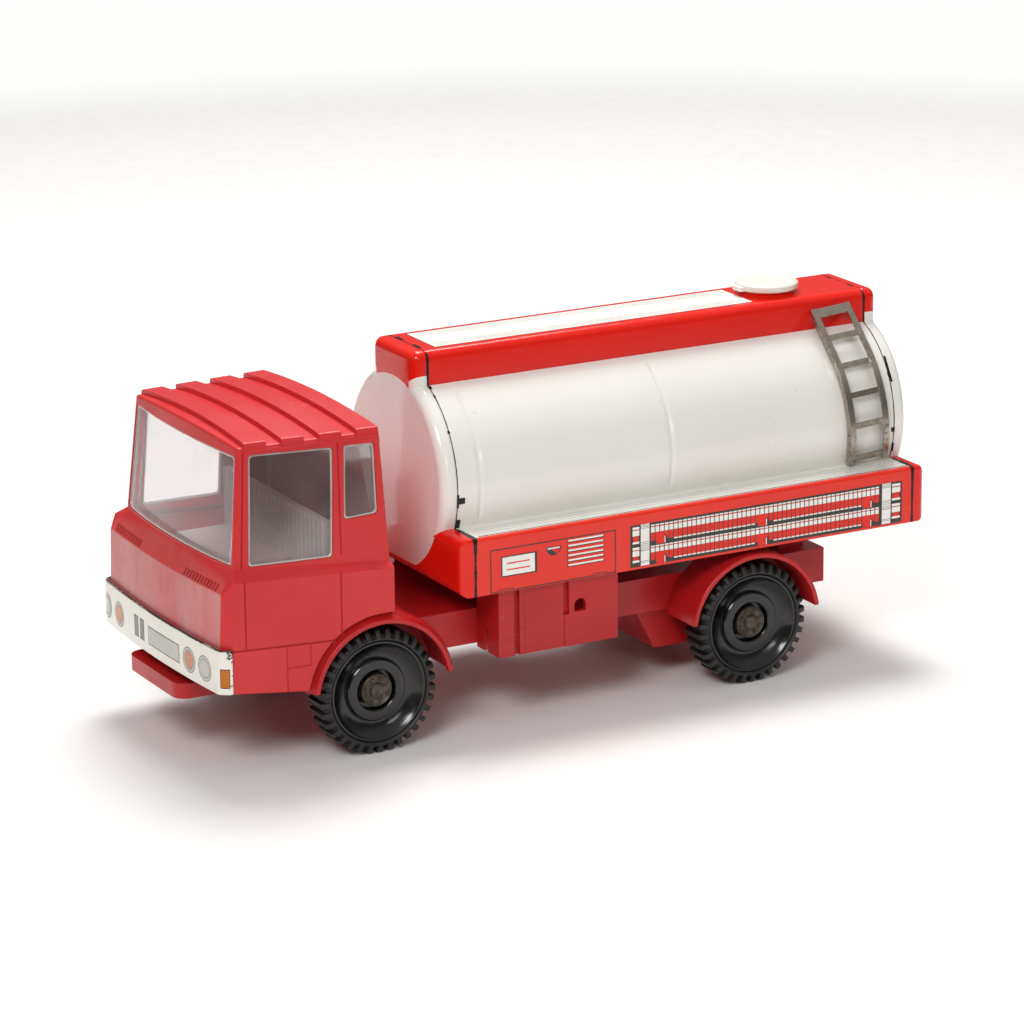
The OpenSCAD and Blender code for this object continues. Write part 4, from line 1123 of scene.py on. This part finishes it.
# angle round the barrel in degrees, place along the truck, length and height of each bent tab
TABS = ((-5.3, SEAM_FRONT + 0.1, 0.75, 4.8), (-5.3, SEAM_FRONT + 1.4, 2.6, 2.1),
        (-19.2, SEAM_FRONT + 0.7, 1.7, 3.4), (33, SEAM_FRONT - 0.1, 0.8, 1.1),
        (63, SEAM_FRONT + 0.2, 1.1, 1.6), (31, SEAM_REAR + 0.5, 0.7, 9.5),
        (-4, SEAM_REAR - 0.4, 1.4, 1.7), (-15, SEAM_REAR + 0.2, 0.9, 3.2))
# slots on top of the tank, as corners along and across it
TOP_SLOTS = (((SEAM_FRONT - 0.3, 4.2), (SEAM_FRONT + 1.1, 3.4), (SEAM_FRONT + 1.3, 8.6),
              (SEAM_FRONT - 0.3, 9.0)),
             ((SEAM_REAR - 1.0, 5.2), (SEAM_REAR + 0.1, 5.2), (SEAM_REAR + 0.1, 8.4), (SEAM_REAR - 1.0, 8.4)))


def tab(side, angle, y, long, tall):
    """A tab's slot, and the smaller tab standing in it."""
    nx, nz = math.cos(math.radians(angle)), math.sin(math.radians(angle))

    def place(u, v, h):
        r = BARREL_R + h
        return (side * (r * nx - v * nz), y + u, BARREL_Z + r * nz + v * nx)

    parts = []
    for low, high, share in ((0.0, 0.16, 1.0), (0.1, 0.3, 0.62)):
        u, v = long / 2 * share, tall / 2 * share
        outline = rounded_outline([(-u, -v), (u, -v), (u, v), (-u, v)], 0.25, 2)
        parts.append(prism(outline, low, high, place))
    return parts


def build_tabs():
    """Bent tin tabs and the black slots they pass through, along the cap seams."""
    parts = [part for side in (LEFT, RIGHT) for row in TABS for part in tab(side, *row)]
    verts, faces, _ = joined(parts)
    adopt(settle(solid("seam_tabs", verts, faces, [ink_black]), 30), "truck", "cap_tin")
    slots = Print(lambda u, v, h: (v, u, TANK_TOP + h))
    for side in (LEFT, RIGHT):
        for corners in TOP_SLOTS:
            slots.shape(rounded_outline([(u, side * v) for u, v in corners], 0.4, 2), ink_black, 3)
    slots.piece("seam_slots", "truck", "cap_tin")


# ---------- bumper ----------

BUMPER_STRAIGHT = 43.3
BUMPER_CORNER = 4
BUMPER_BOW = 1.8
BUMPER_FACE = bumper_low.y + BUMPER_BOW
BUMPER_SHEET = 0.45
LAMP_Z = 36.2
LAMP_R = 4.35


def bumper_place(s, z, out=0.0):
    """Point at arc length s along the bumper from its middle, moved outwards."""
    side = math.copysign(1, s)
    if abs(s) <= BUMPER_STRAIGHT:
        return (s, BUMPER_FACE - BUMPER_BOW * (1 - (s / BUMPER_STRAIGHT) ** 2) - out, z)
    r = BUMPER_CORNER + out
    a = (abs(s) - BUMPER_STRAIGHT) / BUMPER_CORNER
    if a <= math.pi / 2:
        return (side * (BUMPER_STRAIGHT + r * math.sin(a)), BUMPER_FACE + BUMPER_CORNER - r * math.cos(a), z)
    rest = (a - math.pi / 2) * BUMPER_CORNER
    return (side * (BUMPER_STRAIGHT + r), BUMPER_FACE + BUMPER_CORNER + rest, z)


def build_bumper():
    """Printed tin strip, rolled a little at its edges and bent round the corners."""
    end = BUMPER_STRAIGHT + BUMPER_CORNER * math.pi / 2 + bumper_high.y - BUMPER_FACE - BUMPER_CORNER
    low, high = bumper_low.z, bumper_high.z
    back = -BUMPER_SHEET
    loop = [(0, low + 0.5), (0, high - 0.5), (-0.14, high - 0.13), (back, high), (back - 0.35, high - 0.1),
            (back - 0.4, high - 0.8), (back, high - 1), (back, low + 1), (back - 0.4, low + 0.8),
            (back - 0.35, low + 0.1), (back, low), (-0.14, low + 0.13)]
    rows = []
    steps = 96
    for k in range(steps + 1):
        s = -end + 2 * end * k / steps
        rows.append([bumper_place(s, z, out) for out, z in loop])
    verts, faces = grid(rows, closed_across=True)
    n = len(loop)
    faces += [tuple(range(n)), tuple(range(steps * n, steps * n + n))[::-1]]
    obj = settle(solid("bumper_strip", verts, faces, [bumper_white]), 40)
    adopt(obj, "truck", "bumper_tin", "front_bumper")
    p = Print(lambda u, v, h: bumper_place(u, v, h))
    for s, lens in ((-42.6, ink_pale), (-30.9, ink_apricot), (25.5, ink_apricot), (36.2, ink_pale)):
        p.disc(s, LAMP_Z, LAMP_R, ink_grey)
        p.disc(s, LAMP_Z, LAMP_R - 0.35, ink_pale, 2)
        p.disc(s, LAMP_Z, LAMP_R - 1.1, ink_grey, 3)
        p.disc(s, LAMP_Z, LAMP_R - 1.35, lens, 4)
    for s in (-17.0, -12.2):
        p.rect(s, 33.0, s + 3.5, 40.3, ink_dark)
        p.rect(s + 0.3, 33.3, s + 3.2, 40.0, ink_grey, 2)
    p.rect(-5.2, 33.0, 18.6, 39.4, ink_dark, 1, 4)
    p.rect(-4.85, 33.35, 18.25, 39.05, ink_pale, 2, 4)
    for s in (45.6, -48.9):
        p.rect(s, 31.9, s + 3.3, 38.4, ink_dark, 1, 4)
        p.rect(s + 0.25, 32.2, s + 3.05, 38.1, ink_orange, 2, 4)
    p.piece("bumper_print", "truck", "bumper_tin")


# ---------- filler cap ----------

# the lid's finger tab reaches forwards past its rim, so the lid's box isn't centred on the opening
TAB_REACH = 1.6
FILLER_Y = (lid_low.y + TAB_REACH + lid_high.y) / 2


NECK_BORE_R = 8
LID_R = 11


def on_filler(u, v, h):
    return (u, FILLER_Y + v, h)


def build_filler_cap():
    """Push-in lid with a rounded rim, a shallow dished top and a finger tab, and the tin neck it closes."""
    rim, top = lid_low.z + 5, lid_high.z
    lid = [(0, rim - 4.8), (6.7, rim - 4.8), (7.2, rim - 5), (7.9, rim - 4.4), (7.9, rim), (LID_R - 0.4, rim),
           (LID_R, rim + 0.4), (LID_R, rim + 1.9), (LID_R - 0.7, rim + 2.55), (LID_R - 1.6, top - 0.1),
           (LID_R - 2.4, top), (LID_R - 3.2, top - 0.35), (0, top - 0.25)]
    tab_outline = rounded_outline([(-2.6, -LID_R - 1.55), (2.6, -LID_R - 1.55), (3.4, -LID_R + 1.5),
                                   (-3.4, -LID_R + 1.5)], 1.2, 5)
    finger_tab = prism(tab_outline, rim + 0.1, rim + 1.7, on_filler)
    verts, faces, _ = joined([lathe(lid, on_filler, closed=False), finger_tab])
    obj = settle(solid("filler_lid", verts, faces, [cap_white]), 40)
    adopt(rounded_edges(obj, 0.25, 50), "stopper", "white_plastic", "filler_cap")
    neck = [(NECK_BORE_R, TANK_TOP - TIN), (NECK_BORE_R, NECK_TOP - 0.2), (8.2, NECK_TOP), (9.0, NECK_TOP),
            (9.3, NECK_TOP - 0.3), (9.6, TANK_TOP + 0.7), (10.4, TANK_TOP + 0.25), (12.2, TANK_TOP + 0.02),
            (12.2, TANK_TOP - 0.1), (8.6, TANK_TOP - TIN)]
    obj = settle(solid("filler_neck", *lathe(neck, on_filler), [deep_red]), 40)
    adopt(obj, "truck", "tank_tin")


# ---------- side boxes ----------

def refine_side_box(word, side):
    """A locker with its shallow CAD grooves filled and deeper ones cut where the photograph has them."""
    box = refined("side_box_" + word, "truck", "frame_plastic", frame_red, 0.25)
    low, high = box_mm("side_box_left")
    fills = ((-27.4, -25.3), (-8.7, -6.7))
    cuts = ((-8.9, -6.2, low.z - 1, 0.35), (-25.4, -23.3, low.z - 1, 1.5), (-6.5, -4.5, 36.1, 1.5))
    for y0, y1 in fills:
        near, far = sorted((side * (high.x - 1.2), side * high.x))
        cut_kept(box, block("groove_fill", (near, y0, low.z), (far, y1, high.z)), "UNION")
    for y0, y1, z0, deep in cuts:
        near, far = sorted((side * (high.x - deep), side * (high.x + 2)))
        cut_kept(box, block("groove_tool", (near, y0, z0), (far, y1, high.z + 1)))


# ---------- assembling ----------

build_cab()
build_glazing()
build_window_lips()
build_bumper()
build_tank_shell()
build_cap("front_cap_pressing", "tank_front_cap", SEAM_FRONT - 0.05, front_cap_low.y, -1)
build_cap("rear_cap_pressing", "tank_rear_cap", SEAM_REAR + 0.05, rear_cap_y, 1)
build_seam("front_seam", SEAM_FRONT - 0.02, 11)
build_seam("rear_seam", SEAM_REAR + 0.02, 23)
build_skirt_prints()
build_top_print()
build_tabs()
build_filler_cap()
for corner in WHEELS:
    side = LEFT if corner.endswith("left") else RIGHT
    body = "front_wheels" if corner.startswith("front") else "rear_wheels"
    build_wheel(corner, side, body)
    build_tyre(corner, side, body)
    build_hub_cap(corner, side, body)

for side, word in ((LEFT, "left"), (RIGHT, "right")):
    refine_side_box(word, side)

BEVELS = {"chassis_frame": 0.3, "motor_housing": 0.4}
BEVELS.update({"fender_" + corner: 0.35 for corner in WHEELS})
for node, bevel in BEVELS.items():
    refined(node, "truck", "frame_plastic", frame_red, bevel)
refined("bench_insert", "truck", "grey_plastic", bench_grey, 0.12)
refined("ladder", "truck", "ladder_tin", ladder_tin, 0.1)

# hidden CAD nodes that keep their own mesh
KEPT = ((steel, ("tank_floor", "front_axle", "rear_axle", "motor_frame", "idler_shaft", "flywheel_shaft",
                 "flywheel", "motor_screws", "cab_screws")),
        (nylon, ("drive_gear", "idler_gear")), (brass, ("idler_pinion", "flywheel_pinion")))
for material, nodes in KEPT:
    for node in nodes:
        paint(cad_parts[node].data, material)


# ---------- floor, light and camera ----------

FLOOR_MIDDLE = (-0.31, 0.17, 0)
FLOOR_R = 0.84
ROOM_LIGHT = 0.48
ROOM_DIM = 0.16
LIT_POINT = (0, 0, 0.05)
WARM_WHITE = (1, 0.99, 0.98)
# name, place, size, watts and colour of each light
LIGHTS = (("key", (-0.5, 0.3, 1.3), (0.6, 0.6), 17, (1, 0.99, 0.97)),
          ("side_fill", (0.9, -0.9, 1.1), (0.5, 0.5), 10.5, WARM_WHITE),
          ("low_fill", (1.0, -0.05, 0.4), (0.3, 0.2), 1.0, WARM_WHITE))
CAMERA_PLACE = (1.23770, -0.67297, 0.47175)
CAMERA_AZIMUTH, CAMERA_ELEVATION, CAMERA_ROLL = 1.07349, 0.28470, -0.01085
CAMERA_LENS = 151.409
CAMERA_SENSOR = 36


def build_floor():
    """Round of pale paper that fades out into the white backdrop."""
    middle = Vector(FLOOR_MIDDLE)
    rows = [[(x, y, 0) for x, y in circle(middle.x / MM, middle.y / MM, r, 72)]
            for r in (1, 300, 600, FLOOR_R / MM)]
    verts, faces = grid(rows, closed_across=True)
    faces.append(tuple(range(72)))
    p = Paint("floor_paper")
    p.surface(Base_Color=p.mix(p.noise(6, 3), (0.86, 0.856, 0.848, 1), (0.835, 0.83, 0.822, 1)),
              Roughness=p.remap(p.noise(90, 4), 0.3, 0.7, 0.55, 0.75), Specular_IOR_Level=0.2)
    away = p.node("ShaderNodeVectorMath", {0: p.place, 1: middle}, operation="DISTANCE").outputs["Value"]
    nothing = p.node("ShaderNodeBsdfTransparent").outputs[0]
    faded = p.mix_shaders(p.remap(away, FLOOR_R - 0.17, FLOOR_R - 0.01), p.shader.outputs[0], nothing)
    p.put(p.output.inputs["Surface"], faded)
    solid("floor", verts, faces, [p.material])


def area_light(name, place, size, watts, colour):
    """A rectangular light that faces the truck."""
    data = bpy.data.lights.new(name, "AREA")
    data.shape = "RECTANGLE"
    data.size, data.size_y = size
    data.energy = watts
    data.color = colour
    obj = bpy.data.objects.new(name, data)
    obj.location = place
    obj.rotation_euler = (Vector(LIT_POINT) - Vector(place)).to_track_quat("-Z", "Y").to_euler()
    bpy.context.scene.collection.objects.link(obj)


def build_room():
    """A backdrop that the camera sees as white, while the room that lights the truck is dimmer low down."""
    world = bpy.data.worlds.new("studio")
    bpy.context.scene.world = world
    world.use_nodes = True
    nodes, links = world.node_tree.nodes, world.node_tree.links
    sky = nodes["Background"]
    sky.inputs["Color"].default_value = (1.0, 0.995, 0.985, 1)
    split = nodes.new("ShaderNodeSeparateXYZ")
    links.new(nodes.new("ShaderNodeTexCoord").outputs["Generated"], split.inputs[0])
    ramp = nodes.new("ShaderNodeMapRange")
    ramp.interpolation_type = "SMOOTHSTEP"
    links.new(split.outputs["Z"], ramp.inputs["Value"])
    for name, number in (("From Min", 0.25), ("From Max", 0.7), ("To Min", ROOM_DIM), ("To Max", ROOM_LIGHT)):
        ramp.inputs[name].default_value = number
    seen = nodes.new("ShaderNodeMath")
    seen.operation = "MAXIMUM"
    links.new(ramp.outputs[0], seen.inputs[0])
    links.new(nodes.new("ShaderNodeLightPath").outputs["Is Camera Ray"], seen.inputs[1])
    links.new(seen.outputs[0], sky.inputs["Strength"])


def build_camera():
    """The photograph's viewpoint: 61.5 degrees round from the cab's front, 16.3 degrees up."""
    level = math.cos(CAMERA_ELEVATION)
    back = Vector((math.sin(CAMERA_AZIMUTH) * level, -math.cos(CAMERA_AZIMUTH) * level,
                   math.sin(CAMERA_ELEVATION)))
    across = Vector((0, 0, 1)).cross(back).normalized()
    up = back.cross(across)
    c, s = math.cos(CAMERA_ROLL), math.sin(CAMERA_ROLL)
    rotation = Matrix((c * across + s * up, c * up - s * across, back)).transposed()
    data = bpy.data.cameras.new("camera")
    data.sensor_width = CAMERA_SENSOR
    data.lens = CAMERA_LENS
    data.clip_start, data.clip_end = 0.05, 50
    camera = bpy.data.objects.new("camera", data)
    camera.matrix_world = Matrix.Translation(CAMERA_PLACE) @ rotation.to_4x4()
    bpy.context.scene.collection.objects.link(camera)
    bpy.context.scene.camera = camera


build_floor()
build_room()
for row in LIGHTS:
    area_light(*row)
build_camera()
bpy.context.scene.view_settings.view_transform = "Standard"
